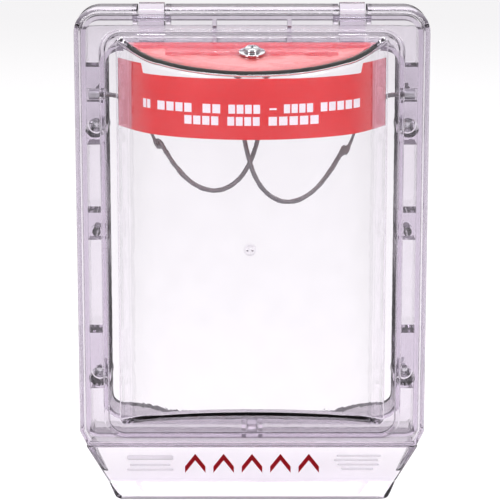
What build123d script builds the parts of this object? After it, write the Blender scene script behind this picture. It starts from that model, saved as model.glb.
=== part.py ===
"""Clear lift-up protective cover for a manual fire-alarm call point.

Millimetres. +X is to the right of somebody facing the wall, +Z is up and the
front faces -Y. The wall is the plane Y = 0, and the origin is the centre of the
four mounting screws on it. "Left" and "right" are the viewer's.
"""
import os
from math import cos, pi, radians, tan

from build123d import *

# ---- lift-up cover ------------------------------------------------------------
COVER_HALF_WIDTH = 90.7
COVER_TOP = 128.5
COVER_BOTTOM = -103.6
COVER_DEPTH = 27.0
COVER_WALL = 2.6
COVER_CORNER = 13.0
SHOULDER_ROUND = 4.0
FOOT_ROUND = 2.0
COVER_EDGE_ROUND = 3.2
COVER_WALL_GAP = 1.0
SHOULDER_RISE = 8.6
SHOULDER_Z = COVER_BOTTOM + SHOULDER_RISE
PLATFORM_HEIGHT = 2.2
PLATFORM_SIDE_STEP = 13.2
PLATFORM_HALF_WIDTH = COVER_HALF_WIDTH - PLATFORM_SIDE_STEP
PLATFORM_TOP_STEP = 11.1
PLATFORM_TOP = COVER_TOP - PLATFORM_TOP_STEP
PLATFORM_BOTTOM_STEP = 6.1
PLATFORM_BOTTOM = COVER_BOTTOM + PLATFORM_BOTTOM_STEP
PLATFORM_CORNER = 11.0
PLATFORM_ROUND = 1.0

# ---- bowed window of the cover -------------------------------------------------
WINDOW_WALL = 2.5
WINDOW_SIDE_STEP = 6.9
WINDOW_HALF_WIDTH = PLATFORM_HALF_WIDTH - WINDOW_SIDE_STEP
WINDOW_TOP_STEP = 3.5
WINDOW_TOP = PLATFORM_TOP - WINDOW_TOP_STEP
WINDOW_BOTTOM_STEP = 7.6
WINDOW_BOTTOM = PLATFORM_BOTTOM + WINDOW_BOTTOM_STEP
WINDOW_SIDE_DRAFT = 11.1
WINDOW_FRONT_HALF_WIDTH = WINDOW_HALF_WIDTH - WINDOW_SIDE_DRAFT
WINDOW_SIDE_DEPTH = 22.5
WINDOW_BOW = 28.5
WINDOW_TOP_SLOPE = 13.4
WINDOW_BOTTOM_SLOPE = 21.0
WINDOW_SIDE_ROUND = 7.0
WINDOW_EDGE_ROUND = 3.4

# ---- mounting frame: a U-section ring, open to the front --------------------
FRAME_SIDE_GAP = 1.0
FRAME_HALF_WIDTH = COVER_HALF_WIDTH - COVER_WALL - FRAME_SIDE_GAP
FRAME_TOP_GAP = 1.9
FRAME_TOP = COVER_TOP - COVER_WALL - FRAME_TOP_GAP
FRAME_BOTTOM_GAP = 3.2
FRAME_BOTTOM = COVER_BOTTOM + COVER_WALL + FRAME_BOTTOM_GAP
FRAME_FRONT_GAP = 0.9
FRAME_DEPTH = COVER_DEPTH - COVER_WALL - FRAME_FRONT_GAP
FRAME_CORNER_TOP = 9.5
FRAME_CORNER_BOTTOM = 6.0
RAIL_OUTER_WALL = 2.3
RAIL_INNER_WALL = 2.5
RAIL_FLOOR = 2.5
SIDE_RAIL_WIDTH = 12.2
OPENING_HALF_WIDTH = FRAME_HALF_WIDTH - SIDE_RAIL_WIDTH
TOP_RAIL_WIDTH = 18.0
OPENING_TOP = FRAME_TOP - TOP_RAIL_WIDTH
BOTTOM_RAIL_WIDTH = 12.2
OPENING_BOTTOM = FRAME_BOTTOM + BOTTOM_RAIL_WIDTH
OPENING_CORNER = 7.0
TOP_RAIL_WEB_X = 18.0
TOP_RAIL_WEB = 2.2

# ---- solid pads in the side rails, and their screws --------------------------
SCREW_EDGE_DISTANCE = 6.6
SCREW_X = FRAME_HALF_WIDTH - SCREW_EDGE_DISTANCE
SCREW_Z = 66.0
SPARE_HOLE_Z = 12.0
PAD_RECESS = 3.0
UPPER_PAD = (57.5, 97.7)
MIDDLE_PAD = (7.5, 21.8)
LOWER_PAD = (-72.2, -42.2)
SCREW_SEAT = 6.0
COUNTERBORE_RADIUS = 5.0
SCREW_BOSS_RADIUS = 6.2
SPARE_BOSS_RADIUS = 3.5
SPARE_BOSS_HEIGHT = 1.5
SCREW_RADIUS = 2.08
SCREW_NECK_RADIUS = 1.9
SCREW_HOLE_CLEARANCE = 0.17
SCREW_HEAD_RADIUS = 4.15
SCREW_HEAD_HEIGHT = 2.7
SCREW_LENGTH = 32.0
SCREW_TIP = 4.0
SCREW_TIP_RADIUS = 0.3
HEAD_ROUND = 1.6
DRIVE_SLOT_WIDTH = 1.1
DRIVE_SLOT_LENGTH = 4.4
DRIVE_DEPTH = 1.5

# ---- grip strip under the cover ------------------------------------------------
GRIP_DROP = 17.2
GRIP_CREASE = COVER_BOTTOM - GRIP_DROP
GRIP_LIP_DROP = 8.4
GRIP_BOTTOM = GRIP_CREASE - GRIP_LIP_DROP
GRIP_LIP_REACH = 7.0
GRIP_LIP_EDGE = 1.4
GRIP_SIDE_SLOPE = 0.603
GRIP_CORNER = 5.0
SHOULDER_RUN = 4.4
GRIP_TOP_HALF_WIDTH = COVER_HALF_WIDTH - SHOULDER_RUN
CHEEK_DEPTH = 13.0
CHEEK_WALL = 2.4
CHEEK_STEP = 2.3
CHEEK_FOOT = GRIP_CREASE + CHEEK_STEP

# ---- hinge ---------------------------------------------------------------------
HINGE_Y = -9.0
HINGE_DROP = 7.0
HINGE_Z = COVER_TOP - HINGE_DROP
HINGE_X = 51.4
KNUCKLE_RADIUS = 8.0
KNUCKLE_WIDTH = 13.0
KNUCKLE_SIDE_GAP = 0.7
PIN_RADIUS = 1.5
PIN_RUNNING_GAP = 0.05
PIN_SEAT_GAP = 0.02
LUG_RADIUS = 3.8
LUG_WIDTH = 2.6
SLOT_FOOT_STEP = 1.0
SLOT_FOOT = HINGE_Z + SLOT_FOOT_STEP
REAR_RELIEF_DEPTH = 3.0
REAR_RELIEF_Y = HINGE_Y + REAR_RELIEF_DEPTH
REAR_RELIEF_DROP = 3.0
REAR_RELIEF_Z = HINGE_Z - REAR_RELIEF_DROP
FRAME_RELIEF_DEPTH = 4.5
FRAME_RELIEF_Y = HINGE_Y - FRAME_RELIEF_DEPTH
FRAME_RELIEF_DROP = 5.0
FRAME_RELIEF_Z = HINGE_Z - FRAME_RELIEF_DROP

# ---- catch at the bottom ---------------------------------------------------------
TONGUE_WIDTH = 5.6
TONGUE_HEIGHT = 4.2
TONGUE_LENGTH = 12.4
TONGUE_STEP = 3.1
TONGUE_FOOT = PLATFORM_BOTTOM + TONGUE_STEP
TONGUE_ROUND = 1.7
POST_WIDTH = 2.2
POST_GAP = 0.5
POST_RECESS = 1.0

# ---- labels ------------------------------------------------------------------------
LABEL_THICKNESS = 0.4
LABEL_GAP = 0.2
LABEL_TOP_STEP = 15.1
LABEL_TOP = WINDOW_TOP - LABEL_TOP_STEP
LABEL_HEIGHT = 29.8
LABEL_BOTTOM = LABEL_TOP - LABEL_HEIGHT
WING_RISE = 4.7
WING_TOP = LABEL_TOP + WING_RISE
TOP_LABEL_REAR = -34.0
TOP_LABEL_EDGE = 2.4
LEGEND_THICKNESS = 0.25
LEGEND_HEIGHT = 10.4
LEGEND_DROP = 8.7
LEGEND_Z = COVER_BOTTOM - LEGEND_DROP
LEGEND_PITCH = 15.0
LEGEND_COUNT = 5
LEGEND_WIDTH = 10.8
LEGEND_STROKE = 3.5

# ---- tether: fixing under the window's top, two cables, two anchors --------------
BOLT_Y = -52.0
BOLT_RADIUS = 2.08
BOLT_HEAD_RADIUS = 4.1
BOLT_HEAD_HEIGHT = 2.6
BOLT_HOLE_GAP = 0.22
BOLT_END = 9.5
WASHER_RADIUS = 6.6
WASHER_THICKNESS = 1.0
RUBBER_THICKNESS = 1.5
TERMINAL_THICKNESS = 0.8
TERMINAL_RADIUS = 4.1
TERMINAL_BARREL_X = 7.0
TERMINAL_BARREL_RADIUS = 1.9
TERMINAL_BARREL_LENGTH = 9.0
NUT_ACROSS_FLATS = 8.7
NUT_HEIGHT = 3.2
CABLE_DIAMETER = 2.4
FERRULE_RADIUS = 2.6
FERRULE_LENGTH = 7.0
FERRULE_ROUND = 0.5
FERRULE_Y = -17.3
FERRULE_Z = 83.1
FERRULE_SET_IN = 1.9
FERRULE_INNER_X = OPENING_HALF_WIDTH + FERRULE_SET_IN
POCKET_CLEARANCE = 0.75
CABLE_SLOT_GAP = 0.25
CABLE_LEAD = 4 * CABLE_DIAMETER
ARC_SHARE = 0.45

# The cables' middle points, chosen by hand between the anchor and the terminal.
LEFT_CABLE = [
    (-67.6, -17.3, 83.1),
    (-57.2, -20.4, 76.4),
    (-48.2, -24.8, 62.6),
    (-40.2, -28.8, 48.6),
    (-29.4, -33.2, 38.0),
    (-17.0, -38.0, 35.8),
    (-6.6, -42.6, 42.4),
    (-0.4, -46.4, 53.2),
    (3.0, -48.4, 65.0),
    (5.6, -49.2, 76.6),
]
RIGHT_CABLE = [
    (67.6, -17.3, 83.1),
    (57.6, -20.6, 76.6),
    (49.0, -25.6, 61.6),
    (41.0, -30.8, 46.6),
    (30.0, -36.8, 34.2),
    (18.0, -42.6, 30.6),
    (7.8, -47.8, 35.8),
    (1.0, -51.8, 46.4),
    (-2.4, -53.4, 58.6),
    (-5.0, -52.6, 72.0),
]

FLANGE_BACK_Y = -(COVER_DEPTH - COVER_WALL)
WINDOW_BASE_Y = -(COVER_DEPTH + PLATFORM_HEIGHT)
PAD_FRONT = FRAME_DEPTH - PAD_RECESS
OVERRUN = 1.0


def facing(depth):
    """The plane parallel to the wall at this depth in front of it."""
    return Plane.XZ.offset(depth)


def rounded_outline(half_width, top, bottom, top_radius, bottom_radius):
    """An upright rectangle in the wall's plane with its own top and bottom radii."""
    outline = make_face(Polyline(
        (-half_width, bottom), (half_width, bottom), (half_width, top), (-half_width, top), close=True,
    ))
    by_height = outline.vertices().sort_by(Axis.Y)
    outline = fillet(by_height[2:], top_radius)
    low = outline.vertices().sort_by(Axis.Y)[:2]
    return fillet(low, bottom_radius)


def slab(sketch, back, front):
    """A sketch in the wall's plane, carried from one depth to another in front of the wall."""
    return extrude(facing(back) * sketch, front - back)


def block(x, y, z):
    """A box from its three (low, high) pairs."""
    size = [high - low for low, high in (x, y, z)]
    middle = [(low + high) / 2 for low, high in (x, y, z)]
    return Pos(*middle) * Box(*size)


def along_y(x, z, radius, back, front):
    """A cylinder square to the wall, between two depths in front of it."""
    return extrude(facing(back) * (Pos(x, z) * Circle(radius)), front - back)


def along_x(y, z, radius, left, right):
    """A cylinder along X between two places."""
    return Pos((left + right) / 2, y, z) * Rot(0, 90, 0) * Cylinder(radius, right - left)


def across(points, half_width):
    """A closed outline in the (Y, Z) plane, carried across the whole width."""
    face = make_face(Polyline(*[(0, y, z) for y, z in points], close=True))
    return extrude(face, half_width, dir=(1, 0, 0), both=True)


# ---- the mounting frame ------------------------------------------------------------
def mounting_frame():
    outer = rounded_outline(FRAME_HALF_WIDTH, FRAME_TOP, FRAME_BOTTOM, FRAME_CORNER_TOP, FRAME_CORNER_BOTTOM)
    opening = rounded_outline(
        OPENING_HALF_WIDTH, OPENING_TOP, OPENING_BOTTOM, OPENING_CORNER, OPENING_CORNER)
    channel_outer = rounded_outline(
        FRAME_HALF_WIDTH - RAIL_OUTER_WALL, FRAME_TOP - RAIL_OUTER_WALL, FRAME_BOTTOM + RAIL_OUTER_WALL,
        FRAME_CORNER_TOP - RAIL_OUTER_WALL, FRAME_CORNER_BOTTOM - RAIL_OUTER_WALL)
    channel_inner = rounded_outline(
        OPENING_HALF_WIDTH + RAIL_INNER_WALL, OPENING_TOP + RAIL_INNER_WALL, OPENING_BOTTOM - RAIL_INNER_WALL,
        OPENING_CORNER + RAIL_INNER_WALL, OPENING_CORNER + RAIL_INNER_WALL)
    frame = slab(outer, 0, FRAME_DEPTH)
    frame -= slab(channel_outer - channel_inner, RAIL_FLOOR, FRAME_DEPTH + OVERRUN)

    channel_x = (OPENING_HALF_WIDTH + RAIL_INNER_WALL - OVERRUN, FRAME_HALF_WIDTH - RAIL_OUTER_WALL + OVERRUN)
    for side in (-1, 1):
        x = sorted(side * value for value in channel_x)
        for low, high in (UPPER_PAD, MIDDLE_PAD, LOWER_PAD):
            frame += block(x, (-PAD_FRONT, 0), (low, high))
        frame += along_y(side * SCREW_X, SPARE_HOLE_Z, SPARE_BOSS_RADIUS, 0, PAD_FRONT + SPARE_BOSS_HEIGHT)
        for z in (-SCREW_Z, SCREW_Z):
            boss = along_y(side * SCREW_X, z, SCREW_BOSS_RADIUS, 0, PAD_FRONT)
            frame += boss & slab(outer, 0, FRAME_DEPTH)
        web_x = sorted((side * TOP_RAIL_WEB_X, side * (TOP_RAIL_WEB_X + TOP_RAIL_WEB)))
        frame += block(web_x, (-FRAME_DEPTH + OVERRUN, 0), (OPENING_TOP + OVERRUN, FRAME_TOP - OVERRUN))
        post_low = TONGUE_WIDTH / 2 + POST_GAP
        post_x = sorted((side * post_low, side * (post_low + POST_WIDTH)))
        post_z = (FRAME_BOTTOM + OVERRUN, OPENING_BOTTOM - OVERRUN)
        frame += block(post_x, (-FRAME_DEPTH + POST_RECESS, 0), post_z)

    frame -= slab(opening, -OVERRUN, FRAME_DEPTH + OVERRUN)
    for side in (-1, 1):
        for z in (-SCREW_Z, SCREW_Z):
            # The round boss stands a little proud of the inner wall.
            boss = along_y(side * SCREW_X, z, SCREW_BOSS_RADIUS, 0, PAD_FRONT)
            frame += boss & slab(outer, 0, FRAME_DEPTH)
            frame -= along_y(side * SCREW_X, z, COUNTERBORE_RADIUS, SCREW_SEAT, FRAME_DEPTH + OVERRUN)
        for z in (-SCREW_Z, SPARE_HOLE_Z, SCREW_Z):
            hole = SCREW_RADIUS + SCREW_HOLE_CLEARANCE
            frame -= along_y(side * SCREW_X, z, hole, -OVERRUN, FRAME_DEPTH + OVERRUN)

    # Everything behind the hinge axis and above this line would stop the cover's back edge.
    relief = (-FRAME_HALF_WIDTH - OVERRUN, FRAME_HALF_WIDTH + OVERRUN)
    frame -= block(relief, (FRAME_RELIEF_Y, OVERRUN), (FRAME_RELIEF_Z, FRAME_TOP + OVERRUN))
    for side in (-1, 1):
        knuckle = (side * HINGE_X - KNUCKLE_WIDTH / 2, side * HINGE_X + KNUCKLE_WIDTH / 2)
        frame += along_x(HINGE_Y, HINGE_Z, KNUCKLE_RADIUS, *knuckle)
        stem_y = (HINGE_Y - KNUCKLE_RADIUS, HINGE_Y + KNUCKLE_RADIUS)
        frame += block(knuckle, stem_y, (OPENING_TOP + OVERRUN, HINGE_Z))
        bore = (knuckle[0] - OVERRUN, knuckle[1] + OVERRUN)
        frame -= along_x(HINGE_Y, HINGE_Z, PIN_RADIUS + PIN_RUNNING_GAP, *bore)
        frame -= cable_pocket(side)
    return frame


def cable_pocket(side):
    """The pocket that holds a cable's ferrule and the slot that the cable leaves it by."""
    reach = FERRULE_RADIUS + POCKET_CLEARANCE
    z = (FERRULE_Z - reach, FERRULE_Z + reach)
    back = FERRULE_Y + reach
    ends = (FERRULE_INNER_X - POCKET_CLEARANCE, FERRULE_INNER_X + FERRULE_LENGTH + POCKET_CLEARANCE)
    pocket = block(sorted(side * e for e in ends), (-FRAME_DEPTH - OVERRUN, back), z)
    half = CABLE_DIAMETER / 2 + CABLE_SLOT_GAP
    slot_ends = (OPENING_HALF_WIDTH - OVERRUN, FERRULE_INNER_X)
    slot_z = (FERRULE_Z - half, FERRULE_Z + half)
    slot = block(sorted(side * e for e in slot_ends), (-FRAME_DEPTH - OVERRUN, FERRULE_Y + half), slot_z)
    return pocket + slot


def mounting_screw(side, z):
    """A pan-head screw: plain neck through the frame, thread standing out behind the wall plane."""
    x = side * SCREW_X
    shank = along_y(x, z, SCREW_NECK_RADIUS, 0, SCREW_SEAT)
    shank += along_y(x, z, SCREW_RADIUS, SCREW_TIP - SCREW_LENGTH + SCREW_SEAT, 0)
    shank_end = SCREW_LENGTH - SCREW_SEAT - SCREW_TIP
    tip = Cone(SCREW_RADIUS, SCREW_TIP_RADIUS, SCREW_TIP)
    tip = Pos(x, shank_end + SCREW_TIP / 2, z) * Rot(-90, 0, 0) * tip
    return shank + tip + pan_head(x, z, SCREW_SEAT, SCREW_HEAD_RADIUS, SCREW_HEAD_HEIGHT)


def pan_head(x, z, seat, radius, height):
    """A pan head with rounded rim and cross recess, seated at a depth in front of the wall."""
    head = along_y(x, z, radius, seat, seat + height)
    rim = head.edges().filter_by(GeomType.CIRCLE).sort_by(Axis.Y)[0]
    head = fillet(rim, HEAD_ROUND)
    long, wide = DRIVE_SLOT_LENGTH / 2, DRIVE_SLOT_WIDTH / 2
    y = (-(seat + height) - OVERRUN, -(seat + height) + DRIVE_DEPTH)
    head -= block((x - long, x + long), y, (z - wide, z + wide))
    head -= block((x - wide, x + wide), y, (z - long, z + long))
    return head


# ---- the cover -----------------------------------------------------------------------
def cover_outline(inset):
    """The cover's box seen from the front, inset by a wall."""
    w, foot = COVER_HALF_WIDTH, GRIP_TOP_HALF_WIDTH
    outline = make_face(Polyline(
        (-foot, COVER_BOTTOM), (foot, COVER_BOTTOM), (w, SHOULDER_Z), (w, COVER_TOP), (-w, COVER_TOP),
        (-w, SHOULDER_Z), close=True,
    ))
    if inset:
        outline = offset(outline, -inset, kind=Kind.INTERSECTION)
    high = outline.vertices().sort_by(Axis.Y)[4:]
    outline = fillet(high, COVER_CORNER - inset)
    middle = outline.vertices().sort_by(Axis.Y)[2:4]
    outline = fillet(middle, SHOULDER_ROUND)
    return fillet(outline.vertices().sort_by(Axis.Y)[:2], FOOT_ROUND)


def window_plan(inset):
    """The window's plan: drafted sides run round into a bowed front, seen from above."""
    front_y = WINDOW_BASE_Y - WINDOW_SIDE_DEPTH
    draft = (WINDOW_HALF_WIDTH - WINDOW_FRONT_HALF_WIDTH) / WINDOW_SIDE_DEPTH
    rear_y = window_rear(inset)
    rear_x = WINDOW_HALF_WIDTH + draft * (rear_y - WINDOW_BASE_Y)
    sides = Polyline(
        (-WINDOW_FRONT_HALF_WIDTH, front_y), (-rear_x, rear_y), (rear_x, rear_y),
        (WINDOW_FRONT_HALF_WIDTH, front_y),
    )
    bow = ThreePointArc(
        (WINDOW_FRONT_HALF_WIDTH, front_y), (0, front_y - WINDOW_BOW), (-WINDOW_FRONT_HALF_WIDTH, front_y))
    plan = make_face(sides + bow)
    plan = offset(plan, -inset) if inset else plan
    return fillet(plan.vertices().sort_by(Axis.Y)[:2], max(WINDOW_SIDE_ROUND - inset, 1.0))


def window_rear(inset):
    """Depth of the window block's back face: inside the flange, or clear behind it when inset."""
    return WINDOW_BASE_Y + PLATFORM_HEIGHT + OVERRUN + 1.5 * inset


def top_height(y, inset=0.0):
    """Height of the window's sloping top at a depth."""
    slope = radians(WINDOW_TOP_SLOPE)
    return WINDOW_TOP + tan(slope) * (y - WINDOW_BASE_Y) - inset / cos(slope)


def bottom_height(y, inset=0.0):
    """Height of the window's sloping bottom at a depth."""
    slope = radians(WINDOW_BOTTOM_SLOPE)
    return WINDOW_BOTTOM - tan(slope) * (y - WINDOW_BASE_Y) + inset / cos(slope)


def window_solid(inset):
    """The bowed window as a solid block, inset by its wall."""
    near = window_rear(inset)
    far = WINDOW_BASE_Y - WINDOW_SIDE_DEPTH - WINDOW_BOW - OVERRUN
    sides = [(y, top_height(y, inset)) for y in (near, far)]
    sides += [(y, bottom_height(y, inset)) for y in (far, near)]
    body = extrude(Pos(0, 0, COVER_BOTTOM) * window_plan(inset), COVER_TOP - COVER_BOTTOM)
    body = body & across(sides, WINDOW_HALF_WIDTH + 2 * PLATFORM_HEIGHT)
    rear = body.edges().sort_by(Axis.Y)[-1].center().Y
    rounded = [e for e in body.edges() if is_window_rim(e, rear)]
    return fillet(rounded, max(WINDOW_EDGE_ROUND - inset, 0.4))


def is_window_rim(edge, rear):
    """True for the edges round the window's top and bottom, where they meet its sides and front."""
    ends = [edge.position_at(t) for t in (0, 0.5, 1)]
    upright = max(p.Z for p in ends) - min(p.Z for p in ends) > 0.5 * (WINDOW_TOP - WINDOW_BOTTOM)
    at_rear = max(abs(p.Y - rear) for p in ends) < 0.01
    return not upright and not at_rear


def grip_outline(inset):
    """The grip strip seen from the front: a trapezium with rounded lower corners."""
    top = COVER_BOTTOM + COVER_WALL
    bottom = GRIP_BOTTOM - OVERRUN if inset else GRIP_BOTTOM
    reach = GRIP_TOP_HALF_WIDTH - inset + GRIP_SIDE_SLOPE * (top - COVER_BOTTOM)
    foot = reach - GRIP_SIDE_SLOPE * (top - bottom)
    outline = make_face(Polyline((-foot, bottom), (foot, bottom), (reach, top), (-reach, top), close=True))
    return outline if inset else fillet(outline.vertices().sort_by(Axis.Y)[:2], GRIP_CORNER)


def grip_strip():
    """The strip that the fingers lift: a flat panel, a lip turned forwards and two side cheeks."""
    front, back = -COVER_DEPTH, FLANGE_BACK_Y
    top = COVER_BOTTOM + COVER_WALL / 2
    lip_front = front - GRIP_LIP_REACH
    profile = [
        (front, top), (front, GRIP_CREASE), (lip_front, GRIP_BOTTOM + GRIP_LIP_EDGE),
        (lip_front, GRIP_BOTTOM), (lip_front + COVER_WALL, GRIP_BOTTOM), (back, GRIP_CREASE - GRIP_LIP_EDGE),
        (back, top),
    ]
    limits = slab(grip_outline(0), 0, COVER_DEPTH + 2 * GRIP_LIP_REACH)
    strip = across(profile, COVER_HALF_WIDTH) & limits
    cheek = across([(back, top), (back + CHEEK_DEPTH, top), (back, CHEEK_FOOT)], COVER_HALF_WIDTH)
    cheek = (cheek & limits) - slab(grip_outline(CHEEK_WALL), 0, COVER_DEPTH)
    return strip + cheek


def lift_cover():
    box = slab(cover_outline(0), COVER_WALL_GAP, COVER_DEPTH)
    front_edges = box.faces().sort_by(Axis.Y)[0].edges()
    box = fillet(front_edges, COVER_EDGE_ROUND)
    raised = slab(platform_outline(0), COVER_DEPTH - OVERRUN, COVER_DEPTH + PLATFORM_HEIGHT)
    raised = fillet(raised.faces().sort_by(Axis.Y)[0].edges(), PLATFORM_ROUND)
    cover = box + raised + window_solid(0)
    cover -= slab(cover_outline(COVER_WALL), 0, COVER_DEPTH - COVER_WALL)
    recess_front = COVER_DEPTH + PLATFORM_HEIGHT - COVER_WALL
    cover -= slab(platform_outline(COVER_WALL), COVER_DEPTH - COVER_WALL - OVERRUN, recess_front)
    cover -= window_solid(WINDOW_WALL)
    cover += grip_strip()

    reach = COVER_HALF_WIDTH + OVERRUN
    cover -= block((-reach, reach), (REAR_RELIEF_Y, OVERRUN), (REAR_RELIEF_Z, COVER_TOP + OVERRUN))
    for side in (-1, 1):
        slot_half = KNUCKLE_WIDTH / 2 + KNUCKLE_SIDE_GAP
        slot = (side * HINGE_X - slot_half, side * HINGE_X + slot_half)
        for low in (slot[0] - LUG_WIDTH, slot[1]):
            cover += hinge_lug(low)
        cover -= block(slot, (-COVER_DEPTH - OVERRUN, 0), (SLOT_FOOT, COVER_TOP + OVERRUN))
    tongue_y = (WINDOW_BASE_Y + COVER_WALL / 2, FLANGE_BACK_Y + TONGUE_LENGTH)
    half = TONGUE_WIDTH / 2
    tongue = block((-half, half), tongue_y, (TONGUE_FOOT, TONGUE_FOOT + TONGUE_HEIGHT))
    cover += fillet(tongue.edges().filter_by(Axis.Z).sort_by(Axis.Y)[2:], TONGUE_ROUND)
    return cover - bolt_frame() * Cylinder(BOLT_RADIUS + BOLT_HOLE_GAP, 4 * WINDOW_WALL)


def platform_outline(inset):
    """The raised step round the window."""
    return rounded_outline(
        PLATFORM_HALF_WIDTH - inset, PLATFORM_TOP - inset, PLATFORM_BOTTOM + inset,
        PLATFORM_CORNER - inset, PLATFORM_CORNER - inset)


def hinge_lug(low):
    """One lug under the cover's top, bored for the hinge pin's end."""
    lug = along_x(HINGE_Y, HINGE_Z, LUG_RADIUS, low, low + LUG_WIDTH)
    y = (HINGE_Y - LUG_RADIUS, HINGE_Y + LUG_RADIUS)
    y = (y[0], min(y[1], REAR_RELIEF_Y))
    lug += block((low, low + LUG_WIDTH), y, (HINGE_Z, COVER_TOP - COVER_WALL / 2))
    bore = (low - OVERRUN, low + LUG_WIDTH + OVERRUN)
    return lug - along_x(HINGE_Y, HINGE_Z, PIN_RADIUS + PIN_SEAT_GAP, *bore)


def hinge_pin(side):
    """The steel pin through one knuckle and its two lugs."""
    half = KNUCKLE_WIDTH / 2 + KNUCKLE_SIDE_GAP + LUG_WIDTH
    return along_x(HINGE_Y, HINGE_Z, PIN_RADIUS, side * HINGE_X - half, side * HINGE_X + half)


# ---- labels ---------------------------------------------------------------------------
def label_sheet(low, high):
    """A band of film just inside the window's side and front walls, between two heights."""
    inside = WINDOW_WALL + LABEL_GAP
    outer = window_solid(inside)
    inner = window_solid(inside + LABEL_THICKNESS)
    reach = COVER_HALF_WIDTH
    rear = WINDOW_BASE_Y - OVERRUN
    far = -COVER_DEPTH - WINDOW_SIDE_DEPTH - 2 * WINDOW_BOW
    return (outer - inner) & block((-reach, reach), (far, rear), (low, high))


def instruction_label():
    """The red film round the window's front and sides, its side wings standing higher."""
    front = label_sheet(LABEL_BOTTOM, LABEL_TOP)
    wings = label_sheet(LABEL_TOP, WING_TOP)
    far = -COVER_DEPTH - WINDOW_SIDE_DEPTH - 2 * WINDOW_BOW
    middle = WINDOW_FRONT_HALF_WIDTH - 2 * WINDOW_WALL
    return front + (wings - block((-middle, middle), (far, 0), (LABEL_BOTTOM, COVER_TOP)))


def top_label():
    """The red film under the window's sloping top, holed for the bolt."""
    plan = offset(window_plan(WINDOW_WALL + LABEL_GAP), -TOP_LABEL_EDGE)
    column = extrude(plan, COVER_TOP)
    high = WINDOW_WALL + LABEL_GAP
    far = WINDOW_BASE_Y - WINDOW_SIDE_DEPTH - WINDOW_BOW
    film = [(TOP_LABEL_REAR, top_height(TOP_LABEL_REAR, high)), (far, top_height(far, high))]
    film += [(y, top_height(y, high + LABEL_THICKNESS)) for y in (far, TOP_LABEL_REAR)]
    sheet = across(film, COVER_HALF_WIDTH) & column
    return sheet - bolt_frame() * Cylinder(BOLT_RADIUS + BOLT_HOLE_GAP, 4 * WINDOW_WALL)


def grip_legend():
    """A row of upward chevrons printed on the back of the grip strip."""
    marks = Part()
    back = -FLANGE_BACK_Y
    for n in range(LEGEND_COUNT):
        x = (n - (LEGEND_COUNT - 1) / 2) * LEGEND_PITCH
        marks += slab(Pos(x, LEGEND_Z) * chevron(), back - LEGEND_THICKNESS, back)
    return marks


def chevron():
    """An upward chevron of even stroke, pointing the way that the cover lifts."""
    half_w = LEGEND_WIDTH / 2
    low, high = -LEGEND_HEIGHT / 2, LEGEND_HEIGHT / 2
    return make_face(Polyline(
        (-half_w, low), (-half_w, low + LEGEND_STROKE), (0, high), (half_w, low + LEGEND_STROKE),
        (half_w, low), (0, high - LEGEND_STROKE), close=True,
    ))


# ---- tether ------------------------------------------------------------------------------
def bolt_frame():
    """The frame at the bolt: origin on the window's sloping outer top, Z out of it."""
    return Pos(0, BOLT_Y, top_height(BOLT_Y)) * Rot(WINDOW_TOP_SLOPE, 0, 0)


def stack(low, high):
    """Two heights along the bolt, measured down from the window's inner face."""
    return (-WINDOW_WALL - high, -WINDOW_WALL - low)


def disc(radius, low, high, hole=0.0):
    """A washer or disc between two heights along the bolt, at the bolt."""
    ring = Pos(0, 0, (low + high) / 2) * Cylinder(radius, high - low)
    if hole:
        ring -= Pos(0, 0, (low + high) / 2) * Cylinder(hole, 3 * (high - low))
    return bolt_frame() * ring


FILM = LABEL_GAP + LABEL_THICKNESS
RUBBER = (FILM, FILM + RUBBER_THICKNESS)
RINGS = [
    (RUBBER[1], RUBBER[1] + TERMINAL_THICKNESS),
    (RUBBER[1] + TERMINAL_THICKNESS, RUBBER[1] + 2 * TERMINAL_THICKNESS),
]
NUT = (RINGS[1][1], RINGS[1][1] + NUT_HEIGHT)


def tether_bolt():
    """The bolt that holds both cables: pan head outside, shank through the window's top."""
    shank = disc(BOLT_RADIUS, -WINDOW_WALL - BOLT_END, WASHER_THICKNESS)
    head = Pos(0, 0, WASHER_THICKNESS + BOLT_HEAD_HEIGHT / 2) * Cylinder(BOLT_HEAD_RADIUS, BOLT_HEAD_HEIGHT)
    rim = head.edges().filter_by(GeomType.CIRCLE).sort_by(Axis.Z)[-1]
    head = fillet(rim, HEAD_ROUND)
    top = WASHER_THICKNESS + BOLT_HEAD_HEIGHT
    for turn in (0, 90):
        recess = Rot(0, 0, turn) * Box(DRIVE_SLOT_LENGTH, DRIVE_SLOT_WIDTH, 2 * DRIVE_DEPTH)
        head -= Pos(0, 0, top) * recess
    return shank + bolt_frame() * head


def ring_terminal(side, level):
    """A ring terminal turned down at right angles; its barrel grips the cable's end."""
    low, high = stack(*RINGS[level])
    middle = (low + high) / 2
    thick = high - low
    x = side * TERMINAL_BARREL_X
    ring = Pos(0, 0, middle) * Cylinder(TERMINAL_RADIUS, thick)
    tongue = Pos(x / 2, 0, middle) * Box(TERMINAL_BARREL_X, 2 * TERMINAL_BARREL_RADIUS, thick)
    barrel = Cylinder(TERMINAL_BARREL_RADIUS, TERMINAL_BARREL_LENGTH)
    terminal = ring + tongue + Pos(x, 0, high - TERMINAL_BARREL_LENGTH / 2) * barrel
    terminal -= Pos(0, 0, middle) * Cylinder(BOLT_RADIUS + BOLT_HOLE_GAP, 3 * thick)
    return bolt_frame() * terminal


def tether_nut():
    """The plain hexagon nut under the two terminals."""
    low, high = stack(*NUT)
    face = RegularPolygon(NUT_ACROSS_FLATS / 2, 6, major_radius=False)
    nut = extrude(Pos(0, 0, low) * face, high - low)
    nut -= Pos(0, 0, (low + high) / 2) * Cylinder(BOLT_RADIUS + PIN_SEAT_GAP, 3 * NUT_HEIGHT)
    return bolt_frame() * nut


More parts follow.
